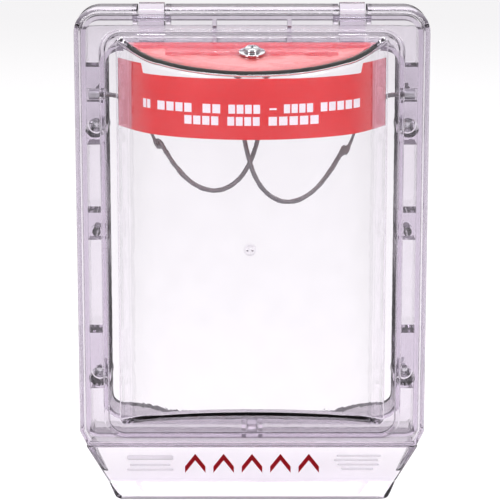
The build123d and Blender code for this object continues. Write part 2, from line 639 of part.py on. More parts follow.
def barrel_mouth(side, level):
    """Where a cable enters its terminal's barrel, and a point further along its axis."""
    high = stack(*RINGS[level])[1]
    places = []
    for below in (TERMINAL_BARREL_LENGTH, TERMINAL_BARREL_LENGTH + CABLE_LEAD):
        places.append((bolt_frame() * Pos(side * TERMINAL_BARREL_X, 0, high - below)).position)
    return places


def tether_cable(name, side, level, middle):
    """One cable as straight runs joined by tangent arcs, from its ferrule to its terminal."""
    start = (side * FERRULE_INNER_X, FERRULE_Y, FERRULE_Z)
    mouth, below = barrel_mouth(-side, level)
    route = [Vector(*p) for p in [start, *middle]] + [below, mouth]
    runs = [(b - a).length for a, b in zip(route, route[1:])]
    radii = []
    for n in range(1, len(route) - 1):
        turn = (route[n] - route[n - 1]).get_angle(route[n + 1] - route[n])
        radii.append(ARC_SHARE * min(runs[n - 1], runs[n]) / tan(radians(turn) / 2))
    path = FilletPolyline(*route, radius=radii)
    start_plane = Plane(origin=route[0], z_dir=route[1] - route[0])
    cable = sweep(start_plane * Circle(CABLE_DIAMETER / 2), path=path)
    section = pi * CABLE_DIAMETER ** 2 / 4
    print(name, "runs", [round(r, 1) for r in runs], "radii", [round(r, 1) for r in radii])
    print(name, "length", round(path.length, 1), "volume", round(cable.volume, 1),
          "section x length", round(section * path.length, 1))
    return cable


def cable_ferrule(side):
    """The crimped stop on a cable's outer end, lying in the frame's pocket."""
    ends = sorted((side * FERRULE_INNER_X, side * (FERRULE_INNER_X + FERRULE_LENGTH)))
    ferrule = along_x(FERRULE_Y, FERRULE_Z, FERRULE_RADIUS, *ends)
    return fillet(ferrule.edges().filter_by(GeomType.CIRCLE), FERRULE_ROUND)


def build():
    """Every separate piece of the cover by its node name."""
    nodes = {
        "mounting_frame": mounting_frame(),
        "lift_cover": lift_cover(),
        "instruction_label": instruction_label(),
        "top_label": top_label(),
        "grip_legend": grip_legend(),
        "tether_bolt": tether_bolt(),
        "tether_washer": disc(WASHER_RADIUS, 0, WASHER_THICKNESS, BOLT_RADIUS + BOLT_HOLE_GAP),
        "tether_rubber_washer": disc(WASHER_RADIUS, *stack(*RUBBER), BOLT_RADIUS + BOLT_HOLE_GAP),
        "tether_nut": tether_nut(),
    }
    for side, name in ((-1, "left"), (1, "right")):
        level = 0 if side < 0 else 1
        middle = LEFT_CABLE if side < 0 else RIGHT_CABLE
        nodes[f"hinge_pin_{name}"] = hinge_pin(side)
        nodes[f"mounting_screw_upper_{name}"] = mounting_screw(side, SCREW_Z)
        nodes[f"mounting_screw_lower_{name}"] = mounting_screw(side, -SCREW_Z)
        nodes[f"cable_ferrule_{name}"] = cable_ferrule(side)
        nodes[f"ring_terminal_{name}"] = ring_terminal(-side, level)
        nodes[f"tether_cable_{name}"] = tether_cable(f"tether_cable_{name}", side, level, middle)
    return nodes


os.makedirs("parts", exist_ok=True)
for node, solid in build().items():
    export_step(solid, f"parts/{node}.step")
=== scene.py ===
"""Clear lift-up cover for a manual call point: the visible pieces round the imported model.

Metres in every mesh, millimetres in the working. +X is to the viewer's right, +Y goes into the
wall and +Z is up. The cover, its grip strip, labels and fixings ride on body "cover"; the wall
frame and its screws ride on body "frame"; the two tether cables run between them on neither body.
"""

from math import cos, pi, radians, sin, sqrt, tan

import bmesh
import bpy
import numpy as np
from bpy.props import FloatProperty, FloatVectorProperty, IntProperty, PointerProperty
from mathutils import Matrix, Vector


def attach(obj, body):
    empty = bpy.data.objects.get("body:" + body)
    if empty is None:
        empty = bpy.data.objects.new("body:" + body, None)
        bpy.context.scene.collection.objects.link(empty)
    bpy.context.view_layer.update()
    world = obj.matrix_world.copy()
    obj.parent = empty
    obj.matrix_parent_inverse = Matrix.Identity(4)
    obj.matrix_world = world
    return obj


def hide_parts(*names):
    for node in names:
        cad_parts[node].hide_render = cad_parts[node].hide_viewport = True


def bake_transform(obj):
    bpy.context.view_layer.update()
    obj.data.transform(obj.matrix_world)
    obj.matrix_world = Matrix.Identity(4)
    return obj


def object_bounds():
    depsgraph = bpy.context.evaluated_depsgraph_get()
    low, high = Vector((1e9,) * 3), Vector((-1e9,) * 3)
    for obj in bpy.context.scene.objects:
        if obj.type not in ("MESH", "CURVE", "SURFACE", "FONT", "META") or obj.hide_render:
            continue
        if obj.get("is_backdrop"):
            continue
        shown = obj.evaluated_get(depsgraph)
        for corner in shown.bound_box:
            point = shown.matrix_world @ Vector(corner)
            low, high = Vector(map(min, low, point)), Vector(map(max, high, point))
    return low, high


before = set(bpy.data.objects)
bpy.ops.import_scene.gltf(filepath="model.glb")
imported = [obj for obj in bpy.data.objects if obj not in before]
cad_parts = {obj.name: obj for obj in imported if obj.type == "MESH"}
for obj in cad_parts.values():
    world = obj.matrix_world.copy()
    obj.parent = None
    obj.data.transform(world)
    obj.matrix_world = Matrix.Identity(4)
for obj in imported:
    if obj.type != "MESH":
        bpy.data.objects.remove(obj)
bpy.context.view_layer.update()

bl_info = {
    "name": "Call point cover",
    "version": (1, 0, 0),
    "blender": (4, 5, 0),
    "location": "3D View > Sidebar > Call point cover",
    "description": "Builds the visible pieces of a clear lift-up call point cover",
    "category": "Object",
}

MM = 0.001
SIDES = ((-1, "left"), (1, "right"))

# ---- window of the cover, in millimetres ----
BASE_Y = -29.2
WINDOW_HALF = 70.6
WINDOW_TOP = 113.9
WINDOW_BOTTOM = -89.9
FRONT_HALF = 59.5
SIDE_DEPTH = 22.5
BOW = 28.5
TOP_SLOPE = radians(13.4)
BOTTOM_SLOPE = radians(21.0)
SIDE_ROUND = 7.0
EDGE_ROUND = 3.4
BOW_RADIUS = (FRONT_HALF ** 2 + BOW ** 2) / (2 * BOW)
BOW_CENTRE_Y = BASE_Y - SIDE_DEPTH - BOW + BOW_RADIUS
SIDE_LENGTH = sqrt((WINDOW_HALF - FRONT_HALF) ** 2 + SIDE_DEPTH ** 2)
SIDE_NORMAL = (SIDE_DEPTH / SIDE_LENGTH, -(WINDOW_HALF - FRONT_HALF) / SIDE_LENGTH)
FRONT_LIMIT = -95.0
WINDOW_WALL = 2.5

# ---- box and platform of the cover ----
COVER_HALF = 90.7
COVER_TOP = 128.5
COVER_BOTTOM = -103.6
COVER_FOOT = 86.3
SHOULDER = -95.0
COVER_FRONT = -27.0
COVER_BACK = -1.0
COVER_WALL = 2.6
COVER_CORNER = 13.0
COVER_ROUND = 3.2
PLATFORM_HALF = 77.5
PLATFORM_TOP = 117.4
PLATFORM_BOTTOM = -97.5
PLATFORM_CORNER = 11.0
PLATFORM_ROUND = 1.0
RELIEF_Y = -6.0
RELIEF_Z = 118.5
SLOT_INNER = 44.2
SLOT_OUTER = 58.6
SLOT_FOOT = 122.5

# ---- grip strip, catch and hinge ----
GRIP_SLOPE = 0.603
GRIP_CREASE = -120.8
GRIP_BOTTOM = -129.2
GRIP_CORNER = 5.0
GRIP_FRONT = -27.0
GRIP_BACK = -24.4
LIP_REACH = 7.0
LIP_EDGE = 1.4
CHEEK_DEPTH = 13.0
CHEEK_FOOT = -118.5
CHEEK_WALL = 2.4
HINGE_Y = -9.0
HINGE_Z = 121.5
LUG_RADIUS = 3.8
LUG_FRONT = -12.8
LUG_REAR = -6.0
LUG_TOP = 126.4
LUG_WIDTH = 2.6
TONGUE_HALF = 2.8
TONGUE_FRONT = -27.9
TONGUE_REAR = -12.0
TONGUE_FOOT = -94.4
TONGUE_HEAD = -90.2
TONGUE_ROUND = 1.7
GATE_AT = (-1.0, 14.5)

# ---- films and print ----
FILM_GAP = 0.2
FILM_THICKNESS = 0.4
FILM_OUTER = WINDOW_WALL + FILM_GAP
FILM_INNER = FILM_OUTER + FILM_THICKNESS
FILM_BOTTOM = 69.0
FILM_TOP = 98.8
WING_TOP = 103.5
WING_START = 54.5
FILM_REAR = -30.2
TOP_FILM_REAR = -34.0
TOP_FILM_EDGE = 2.4
PRINT_RISE = 0.06
PRINT_SINK = 0.1
BAR_SHARE = 0.8
DASH_SHARE = 0.2
# height from and to, then (left, right, number of bars) for each group; a group of 0 is one thin dash
BAR_ROWS = (
    (81.9, 86.3, ((-53.4, -49.2, 2), (-46.0, -28.4, 4), (-23.9, -14.4, 2), (-11.4, 4.7, 4), (8.4, 11.9, 0),
                  (15.4, 30.3, 4), (33.3, 53.7, 5))),
    (76.0, 80.3, ((-32.8, -15.4, 4), (-11.9, 4.5, 4), (8.0, 33.3, 5))),
)
# left, right, middle height and height of each raised bar on the grip strip
MARK_ROWS = (
    (-66.0, -41.5, -108.6, 2.6), (-64.5, -43.0, -112.6, 1.1), (-66.0, -41.5, -115.2, 1.1),
    (44.5, 68.0, -107.6, 1.1), (43.0, 66.5, -110.0, 1.1), (45.0, 67.0, -112.4, 1.1),
    (47.0, 64.0, -114.8, 1.1),
)

# ---- screws, bolt and cables ----
SCREW_X = 80.5
SCREW_Z = 66.0
SCREW_SEAT = -6.0
SCREW_END = 26.0
HEAD_RADIUS = 4.15
HEAD_HEIGHT = 2.7
SCREW_RADIUS = 2.08
NECK_RADIUS = 1.9
TIP_LENGTH = 4.0
TIP_RADIUS = 0.3
BOLT_TIP = 0.8
BOLT_NECK_END = 0.4
DRIVE_WIDTH = 1.1
DRIVE_LENGTH = 4.4
DRIVE_DEPTH = 1.5
THREAD_DEPTH = 0.42
WASHER_BORE = SCREW_RADIUS + 0.22
BOLT_Y = -52.0
BOLT_HEAD_RADIUS = 4.1
BOLT_HEAD_HEIGHT = 2.6
BOLT_END = -12.0
WASHER_RADIUS = 6.6
WASHER_THICKNESS = 1.0
RUBBER_THICKNESS = 1.5
TERMINAL_THICKNESS = 0.8
BARREL_X = 7.0
BARREL_LENGTH = 9.0
NUT_HALF = 4.35
NUT_HEIGHT = 3.2
FERRULE_X = 76.8
FERRULE_Y = -17.3
FERRULE_Z = 83.1
CABLE_MIDDLES = {
    "left": (
        (-67.6, -17.3, 83.1), (-57.2, -20.4, 76.4), (-48.2, -24.8, 62.6), (-40.2, -28.8, 48.6),
        (-29.4, -33.2, 38.0), (-17.0, -38.0, 35.8), (-6.6, -42.6, 42.4), (-0.4, -46.4, 53.2),
        (3.0, -48.4, 65.0), (5.6, -49.2, 76.6)),
    "right": (
        (67.6, -17.3, 83.1), (57.6, -20.6, 76.6), (49.0, -25.6, 61.6), (41.0, -30.8, 46.6),
        (30.0, -36.8, 34.2), (18.0, -42.6, 30.6), (7.8, -47.8, 35.8), (1.0, -51.8, 46.4),
        (-2.4, -53.4, 58.6), (-5.0, -52.6, 72.0)),
}
CABLE_LEAD = 9.6
CABLE_STEP = 0.7

# ---- how the cover's grid is shared out ----
STRAIGHT_X = 66.0
STRAIGHT_LOW = -84.0
STRAIGHT_HIGH = 104.0
CORNER_STEPS = 16
SIDE_STEPS = 24
ARC_STEPS = 14
BACK_ROWS = 5
RIM_ROWS = 13
RIM_ABOVE = 0.9
RIM_BELOW = 1.2
RIM_LOW_REACH = 3.0
RIM_HIGH_REACH = 3.4

# ---- looks ----
POLYCARBONATE_IOR = 1.585
BODY_COLOUR = (0.70, 0.62, 0.74, 1.0)
BODY_DENSITY = 45.0
SCRATCH_ROUGHNESS = 0.10
RAISED_FROST = 0.35
WEAR_SIZES = {"Blotch": 0.02, "Grain": 0.001, "Scratch": 0.03}

# ---- stage, in metres ----
CAMERA_LENS = 163.6
CAMERA_SHIFT = (-0.004, 0.0131)
CAMERA_DOWN = radians(12.0)
CAMERA_REACH = 1.175
CAMERA_AIM_Y = -0.028
FLOOR_EDGE = 12.0
FLOOR_GAP = 0.0004
FLOOR_LOOK = {
    "Base Color": (0.93, 0.925, 0.93, 1), "Roughness": 0.8, "Specular IOR Level": 0.1,
    "Emission Color": (1.0, 0.99, 1.0, 1), "Emission Strength": 0.16,
}
FLOOR_MIRRORED = (0.06, 0.055, 0.06, 1)
SKY_STOPS = ((0.0, (0.16, 0.15, 0.165, 1)), (0.16, (0.34, 0.32, 0.35, 1)), (0.62, (1.0, 1.0, 1.0, 1)))
SKY_STRENGTH = 0.9
LAMP_AIM = (0, -0.03, 0.0)
LAMPS = (
    ("key_left", (-0.95, -1.05, 0.62), (0.50, 0.50), 5.2),
    ("key_right", (1.00, -1.00, 0.58), (0.45, 0.45), 4.6),
    ("strip", (0.0, -0.42, 1.15), (1.00, 0.10), 3.4),
    ("back", (0.0, 1.40, 1.10), (1.60, 0.80), 2.6),
)


# ==== small tools ====
def put_mesh(name, points, faces, smooth_angle=35.0):
    """A mesh object at the origin from points in millimetres and a list of faces."""
    mesh = bpy.data.meshes.new(name)
    mesh.from_pydata((np.asarray(points, float) * MM).tolist(), [], [list(map(int, f)) for f in faces])
    mesh.validate()
    mesh.update()
    piece = bpy.data.objects.new(name, mesh)
    bpy.context.scene.collection.objects.link(piece)
    mesh.shade_smooth()
    mesh.set_sharp_from_angle(angle=radians(smooth_angle))
    return piece


def paint(piece, material):
    """Gives a piece one material in place of what it has."""
    piece.data.materials.clear()
    piece.data.materials.append(material)


def fit_out(piece, body, slot, material, *nodes):
    """Gives a piece its material, lets it stand for its CAD nodes and ride on a body; its slot is not used.
    """
    paint(piece, material)
    if nodes:
        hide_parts(*nodes)
    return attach(piece, body) if body else piece


def dress(node, material):
    """Gives a CAD node its material."""
    paint(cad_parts[node], material)


def built(name, net, body, slot, finish, *nodes, smooth_angle=35.0):
    """A piece from its points and faces, turned outwards and fitted out."""
    return fit_out(outward(put_mesh(name, *net, smooth_angle)), body, slot, finish_of(finish), *nodes)


def clear_piece(name, net):
    """A piece of the clear cover."""
    return built(name, net, "cover", "clear_cover", "clear_cover")


def grid_faces(rows, columns, wrap=False):
    """Quads over a grid of rows by columns; with wrap, the last column joins the first."""
    index = np.arange(rows * columns).reshape(rows, columns)
    if wrap:
        index = np.hstack([index, index[:, :1]])
    return np.stack([index[:-1, :-1], index[:-1, 1:], index[1:, 1:], index[1:, :-1]], -1).reshape(-1, 4)


def closed_shell(outer, inner, quads):
    """A wall from two point sets on one net of quads: both faces, and a rim along every free edge."""
    count = len(outer)
    starts, ends = quads.ravel(), np.roll(quads, -1, axis=1).ravel()
    free = ~np.isin(starts * count + ends, ends * count + starts)
    a, b = starts[free], ends[free]
    rim = np.stack([b, a, a + count, b + count], 1)
    return np.vstack([outer, inner]), np.vstack([quads, quads[:, ::-1] + count, rim])


def swept_ring(section, path, frames):
    """Points of a closed section (n, 2) carried along path points (m, 3) on frames (m, 2, 3)."""
    u, v = section[None, :, :1], section[None, :, 1:]
    return path[:, None] + u * frames[:, None, 0] + v * frames[:, None, 1]


def prism(outline, low, high, edge, place, steps=4):
    """A plate between two levels over a counter-clockwise outline, its edges rounded.

    Each ring of points is the outline moved inwards by edge * (1 - cos t) at a level
    edge * sin t short of the end, for t from 90 degrees to 0. place turns (u, v, level) arrays
    into points.
    """
    ahead, behind = np.roll(outline, -1, 0) - outline, outline - np.roll(outline, 1, 0)
    ahead /= np.linalg.norm(ahead, axis=1, keepdims=True)
    behind /= np.linalg.norm(behind, axis=1, keepdims=True)
    turn = ahead + behind
    turn /= np.linalg.norm(turn, axis=1, keepdims=True)
    inward = np.stack([-turn[:, 1], turn[:, 0]], 1) / np.clip((turn * ahead).sum(1), 0.4, 1)[:, None]
    t = np.linspace(pi / 2, 0, steps + 1)
    inset = np.concatenate([edge * (1 - np.cos(t)), edge * (1 - np.cos(t[::-1]))])
    level = np.concatenate([low + edge * (1 - np.sin(t)), high - edge * (1 - np.sin(t[::-1]))])
    rings = outline[None] + inset[:, None, None] * inward[None]
    count = len(outline)
    u, v = rings[..., 0].ravel(), rings[..., 1].ravel()
    points = place(u, v, np.repeat(level, count))
    faces = grid_faces(len(level), count, wrap=True).tolist()
    last = (len(level) - 1) * count
    faces += [list(range(count))[::-1], list(range(last, last + count))]
    return points, faces


def outward(piece):
    """Turns every face of a closed mesh outwards."""
    net = bmesh.new()
    net.from_mesh(piece.data)
    bmesh.ops.recalc_face_normals(net, faces=net.faces)
    net.to_mesh(piece.data)
    net.free()
    return piece


def joined(parts):
    """One point array and one face list from several (points, faces) pairs."""
    points, faces, start = [], [], 0
    for part_points, part_faces in parts:
        points.append(np.asarray(part_points, float))
        faces += [[int(i) + start for i in f] for f in part_faces]
        start += len(part_points)
    return np.vstack(points), faces


def rounded_path(corners, radii, steps=ARC_STEPS):
    """An open path with its inner corners rounded: tangent length = radius / tan(half the corner)."""
    path = [np.asarray(corners[0], float)[None]]
    for before, corner, after, radius in zip(corners, corners[1:], corners[2:], radii):
        c = np.asarray(corner, float)
        to_before, to_after = np.asarray(before, float) - c, np.asarray(after, float) - c
        to_before, to_after = to_before / np.hypot(*to_before), to_after / np.hypot(*to_after)
        half = np.arccos(np.clip(to_before @ to_after, -1, 1)) / 2
        reach = radius / tan(half)
        axis = (to_before + to_after) / np.hypot(*(to_before + to_after))
        centre = c + axis * radius / sin(half)
        start, end = c + to_before * reach - centre, c + to_after * reach - centre
        sweep = np.arctan2(start[0] * end[1] - start[1] * end[0], start @ end)
        t = np.linspace(0, sweep, steps + 1)
        path.append(centre + np.stack([
            start[0] * np.cos(t) - start[1] * np.sin(t), start[0] * np.sin(t) + start[1] * np.cos(t)], 1))
    path.append(np.asarray(corners[-1], float)[None])
    return np.vstack(path)


def spaced(path, count, arc_weight=3.0):
    """count + 1 points along a path, closer together where it curves."""
    steps = np.linalg.norm(np.diff(path, axis=0), axis=1)
    weight = np.where(steps < np.median(steps) * 1.5, arc_weight, 1.0)
    along = np.concatenate([[0], np.cumsum(steps * weight)])
    at = np.linspace(0, along[-1], count + 1)
    return np.stack([np.interp(at, along, path[:, 0]), np.interp(at, along, path[:, 1])], 1)


def smooth_step(t):
    """0 below 0, 1 above 1 and an even S between."""
    t = np.clip(t, 0, 1)
    return t * t * (3 - 2 * t)


# ==== the window's surface ====
def rounded_meeting(a, b, radius):
    """Distance outside two walls that meet in a rounded edge: a circle joins them within the radius."""
    past = np.hypot(np.maximum(a + radius, 0), np.maximum(b + radius, 0))
    return np.minimum(-radius, np.maximum(a, b)) + past


def window_gap(x, y, z, inset):
    """Distance outside the window's wall: bowed front, drafted sides, sloping top and bottom."""
    bow = np.hypot(x, y - BOW_CENTRE_Y) - BOW_RADIUS + inset
    side = (np.abs(x) - WINDOW_HALF) * SIDE_NORMAL[0] + (y - BASE_Y) * SIDE_NORMAL[1] + inset
    top = (z - WINDOW_TOP - tan(TOP_SLOPE) * (y - BASE_Y)) * cos(TOP_SLOPE) + inset
    bottom = (WINDOW_BOTTOM - tan(BOTTOM_SLOPE) * (y - BASE_Y) - z) * cos(BOTTOM_SLOPE) + inset
    front = rounded_meeting(bow, side, max(SIDE_ROUND - inset, 1.0))
    return rounded_meeting(front, np.maximum(top, bottom), max(EDGE_ROUND - inset, 0.6))


def window_y(x, z, inset, base):
    """Depth of the window's surface at (x, z): where its gap is zero, halved down to from both sides."""
    x, z = np.broadcast_arrays(np.asarray(x, float), np.asarray(z, float))
    outside, inside = np.full(x.shape, FRONT_LIMIT), np.full(x.shape, float(base))
    for _ in range(44):
        middle = (outside + inside) / 2
        out = window_gap(x, middle, z, inset) > 0
        outside, inside = np.where(out, middle, outside), np.where(out, inside, middle)
    return np.where(window_gap(x, base, z, inset) >= 0, base, inside)


def top_height(y, inset):
    """Height of the window's sloping top at a depth."""
    return WINDOW_TOP + tan(TOP_SLOPE) * (y - BASE_Y) - inset / cos(TOP_SLOPE)


def bottom_height(y, inset):
    """Height of the window's sloping bottom at a depth."""
    return WINDOW_BOTTOM - tan(BOTTOM_SLOPE) * (y - BASE_Y) + inset / cos(BOTTOM_SLOPE)


def straight_x():
    """Where the cover's uprights stand on its straight top and bottom, the hinge slots' sides among them."""
    half = np.concatenate([
        np.linspace(0, SLOT_INNER, 31)[:-1], np.linspace(SLOT_INNER, SLOT_OUTER, 17)[:-1],
        np.linspace(SLOT_OUTER, STRAIGHT_X, 19)])
    return np.concatenate([-half[:0:-1], half])


def window_grid(inset, base):
    """The window as rows by columns of points, rows crowded round its rounded top and bottom edges."""
    half = WINDOW_HALF + (base - BASE_Y) * -SIDE_NORMAL[1] / SIDE_NORMAL[0] - inset / SIDE_NORMAL[0]
    top, bottom = top_height(base, inset), bottom_height(base, inset)
    x = np.concatenate([
        np.linspace(-half, -STRAIGHT_X, CORNER_STEPS + 1)[:-1], straight_x(),
        np.linspace(STRAIGHT_X, half, CORNER_STEPS + 1)[1:]])
    y = window_y(x, 0 * x, inset, base)
    rim_top = np.minimum(top_height(y, inset), top - 0.5)
    rim_bottom = np.maximum(bottom_height(y, inset), bottom + 0.5)
    over = np.minimum(RIM_ABOVE, (top - rim_top) / 2)
    under = np.minimum(RIM_BELOW, (rim_bottom - bottom) / 2)
    low, high = rim_bottom + RIM_LOW_REACH, rim_top - RIM_HIGH_REACH
    z = np.concatenate([
        np.linspace(bottom + 0 * x, rim_bottom - under, BACK_ROWS)[:-1],
        np.linspace(rim_bottom - under, low, RIM_ROWS)[:-1],
        np.linspace(low, high, SIDE_STEPS + 1)[:-1],
        np.linspace(high, rim_top + over, RIM_ROWS)[:-1],
        np.linspace(rim_top + over, top + 0 * x, BACK_ROWS)])
    x = np.broadcast_to(x, z.shape)
    return np.stack([x, window_y(x, z, inset, base), z], -1)


# ==== the cover's box ====
def ring(half, top, bottom, corner, low_corner, y, shoulder=None):
    """One closed line round the cover, its points matched one for one with every other ring's.

    It runs from the lower left corner along the bottom, up the right, back along the top and down
    the left. Each corner is rounded, and a shoulder (foot half width, height, two radii) slants
    the lower ones.
    """
    x = straight_x()
    z = np.linspace(STRAIGHT_LOW, STRAIGHT_HIGH, SIDE_STEPS + 1)
    middle = ARC_STEPS // 2 + 1
    if shoulder:
        foot, height, radii = shoulder
        low = rounded_path(
            [(STRAIGHT_X, bottom), (foot, bottom), (half, height), (half, STRAIGHT_LOW)], radii)
        turn = ARC_STEPS + 2
    else:
        low = rounded_path([(STRAIGHT_X, bottom), (half, bottom), (half, STRAIGHT_LOW)], [low_corner])
        turn = middle
    high = rounded_path([(half, STRAIGHT_HIGH), (half, top), (STRAIGHT_X, top)], [corner])
    low_a, low_b = spaced(low[:turn + 1], CORNER_STEPS), spaced(low[turn:], CORNER_STEPS)
    high_a, high_b = spaced(high[:middle + 1], CORNER_STEPS), spaced(high[middle:], CORNER_STEPS)
    flip = np.array([-1.0, 1.0])
    bottom_line = np.stack([x, 0 * x + bottom], 1)
    right_line = np.stack([0 * z + half, z], 1)
    top_line = np.stack([x[::-1], 0 * x + top], 1)
    left_line = right_line[::-1] * flip
    line = np.vstack([
        (low_a * flip)[::-1][:-1], bottom_line[:-1], low_a[:-1],
        low_b[:-1], right_line[:-1], high_a[:-1],
        high_b[:-1], top_line[:-1], (high_b * flip)[::-1][:-1],
        (high_a * flip)[::-1][:-1], left_line[:-1], (low_b * flip)[::-1][:-1]])
    return np.stack([line[:, 0], 0 * line[:, 0] + y, line[:, 1]], 1)


def box_ring(inset, y):
    """The cover's box outline, inset evenly, at a depth."""
    slant = np.array([COVER_HALF - COVER_FOOT, SHOULDER - COVER_BOTTOM])
    run = np.hypot(*slant)
    foot = COVER_FOOT - inset * (run - slant[0]) / slant[1]
    height = SHOULDER + inset * (run - slant[1]) / slant[0]
    radii = (max(2.0 - inset, 0.5), max(4.0 - inset, 0.8))
    return ring(COVER_HALF - inset, COVER_TOP - inset, COVER_BOTTOM + inset,
                max(COVER_CORNER - inset, 1.0), 0, y, (foot, height, radii))


def platform_ring(inset, y):
    """The raised step's outline, inset evenly, at a depth."""
    corner = max(PLATFORM_CORNER - inset, 1.0)
    return ring(PLATFORM_HALF - inset, PLATFORM_TOP - inset, PLATFORM_BOTTOM + inset, corner, corner, y)


def back_edge(line):
    """Cuts a back edge short above the relief line, where the cover swings past the wall."""
    line = line.copy()
    line[:, 1] -= (COVER_BACK - RELIEF_Y) * smooth_step((line[:, 2] - RELIEF_Z + 1.5) / 1.5)
    return line


def box_rings(wall, steps=6):
    """The outer (wall 0) or inner rings of the cover's box and platform, from the back edge inwards."""
    front = COVER_FRONT + wall
    corner = COVER_ROUND if not wall else 1.2
    shift = -1 if wall else 1
    lip = 0.5
    rings = [
        back_edge(box_ring(wall + shift * lip, COVER_BACK)),
        back_edge(box_ring(wall + shift * lip * 0.3, COVER_BACK - lip * 0.3)),
        back_edge(box_ring(wall, COVER_BACK - lip)),
        box_ring(wall, front + corner),
    ]
    for t in np.linspace(0, pi / 2, steps + 1)[1:]:
        rings.append(box_ring(wall + corner * (1 - cos(t)), front + corner * (1 - sin(t))))
    rings.append(box_ring(COVER_TOP - SLOT_FOOT, front))
    step_front = BASE_Y + wall
    foot = 0.5 if not wall else 1.0
    for t in np.linspace(0, pi / 2, 4):
        rings.append(platform_ring(wall - foot * (1 - sin(t)), front - foot * (1 - cos(t))))
    edge = PLATFORM_ROUND if not wall else 0.4
    for t in np.linspace(0, pi / 2, 5):
        rings.append(platform_ring(wall + edge * (1 - cos(t)), step_front + edge * (1 - sin(t))))
    rings.append(platform_ring(wall + 3.0, step_front))
    return rings


def cover_net(rings, rows, columns):
    """Two sets of quads: over all rings up to the window's edge, and over the window."""
    around = 2 * (rows + columns) - 4
    grid = np.arange(rows * columns).reshape(rows, columns) + rings * around
    edge = np.concatenate([grid[0, :-1], grid[:-1, -1], grid[-1, :0:-1], grid[:0:-1, 0]])
    lines = np.vstack([np.arange(rings * around).reshape(rings, around), edge[None]])
    lines = np.hstack([lines, lines[:, :1]])
    box = np.stack([lines[:-1, :-1], lines[:-1, 1:], lines[1:, 1:], lines[1:, :-1]], -1).reshape(-1, 4)
    return box, grid_faces(rows, columns) + rings * around


def cover_shell(wall):
    """The clear cover without its grip strip, lugs and catch: one closed wall, open at the hinge slots."""
    sheets = []
    for thickness, window_wall in ((0.0, 0.0), (COVER_WALL, wall)):
        rings = box_rings(thickness)
        grid = window_grid(window_wall, BASE_Y + thickness)
        sheets.append(np.vstack(rings + [grid.reshape(-1, 3)]))
    rows, columns = grid.shape[:2]
    box, window = cover_net(len(rings), rows, columns)
    across, _, up = sheets[0][box].mean(1).T
    in_slot = (up > SLOT_FOOT) & (np.abs(across) > SLOT_INNER) & (np.abs(across) < SLOT_OUTER)
    return closed_shell(sheets[0], sheets[1], np.vstack([box[~in_slot], window]))


# ==== grip strip, hinge lugs, catch and raised marks ====
def grip_half(z):
    """Half width of the grip strip at a height: a straight slant, then a circle round the lower corner."""
    line = COVER_FOOT + GRIP_SLOPE * (z - COVER_BOTTOM)
    lean = sqrt(1 + GRIP_SLOPE ** 2)
    centre_z = GRIP_BOTTOM + GRIP_CORNER
    centre_x = COVER_FOOT + GRIP_SLOPE * (centre_z - COVER_BOTTOM) - GRIP_CORNER * lean
    tangent_z = centre_z - GRIP_CORNER * GRIP_SLOPE / lean
    circle = centre_x + np.sqrt(np.maximum(GRIP_CORNER ** 2 - (z - centre_z) ** 2, 0))
    return np.where(z < tangent_z, circle, line)


def grip_panel(columns=41):
    """The flat panel and its forward lip: a (y, z) section carried across, x = u * half width at z."""
    top = COVER_BOTTOM + 1.3
    lip = GRIP_FRONT - LIP_REACH
    corners = [
        (GRIP_FRONT, top), (GRIP_FRONT, GRIP_CREASE), (lip, GRIP_BOTTOM + LIP_EDGE), (lip, GRIP_BOTTOM),
        (lip + COVER_WALL, GRIP_BOTTOM), (GRIP_BACK, GRIP_CREASE - LIP_EDGE), (GRIP_BACK, top)]
    section = rounded_path(corners, (0.8, 0.5, 0.45, 0.45, 0.8), steps=5)
    pieces = [np.linspace(a, b, 9)[:-1] if np.hypot(*(b - a)) > 4 else a[None]
              for a, b in zip(section, np.roll(section, -1, 0))]
    section = np.vstack(pieces)
    u = np.concatenate([[-1.0], np.linspace(-0.993, 0.993, columns), [1.0]])
    inset = np.concatenate([[0.45], np.zeros(columns), [0.45]])
    middle_y = section[:, 0].mean()
    y, z = (section[None, :, k] + 0 * u[:, None] for k in (0, 1))
    x = u[:, None] * grip_half(z)
    y = y + inset[:, None] * np.sign(middle_y - y) * 0.4
    points = np.stack([x, y, z], -1).reshape(-1, 3)
    count = len(section)
    last = (len(u) - 1) * count
    faces = grid_faces(len(u), count, wrap=True).tolist()
    return points, faces + [list(range(count)), list(range(last, last + count))[::-1]]


def grip_cheek(side):
    """A triangular cheek behind the panel, its outside flush with the strip's slanted end."""
    outline = rounded_path(
        [(GRIP_BACK + 0.1, COVER_BOTTOM + 1.3), (GRIP_BACK + CHEEK_DEPTH, COVER_BOTTOM + 1.3),
         (GRIP_BACK + 0.1, CHEEK_FOOT), (GRIP_BACK + 0.1, COVER_BOTTOM)], (1.0, 1.0), steps=5)

    def place(y, z, level):
        return np.stack([side * (grip_half(z) - level), y, z], 1)
    return prism(outline[::-1], 0, CHEEK_WALL, 0.4, place)


def hinge_lug(low):
    """One lug of the cover's hinge: a round eye under a short block, across x from low."""
    t = np.linspace(pi, 2 * pi, 25)
    eye = np.stack([HINGE_Y + LUG_RADIUS * np.cos(t), HINGE_Z + LUG_RADIUS * np.sin(t)], 1)
    outline = np.vstack([[(LUG_FRONT, LUG_TOP)], eye, [(LUG_REAR, HINGE_Z + 2.4), (LUG_REAR, LUG_TOP)]])

    def place(y, z, level):
        return np.stack([low + level, y, z], 1)
    return prism(outline, 0, LUG_WIDTH, 0.3, place)


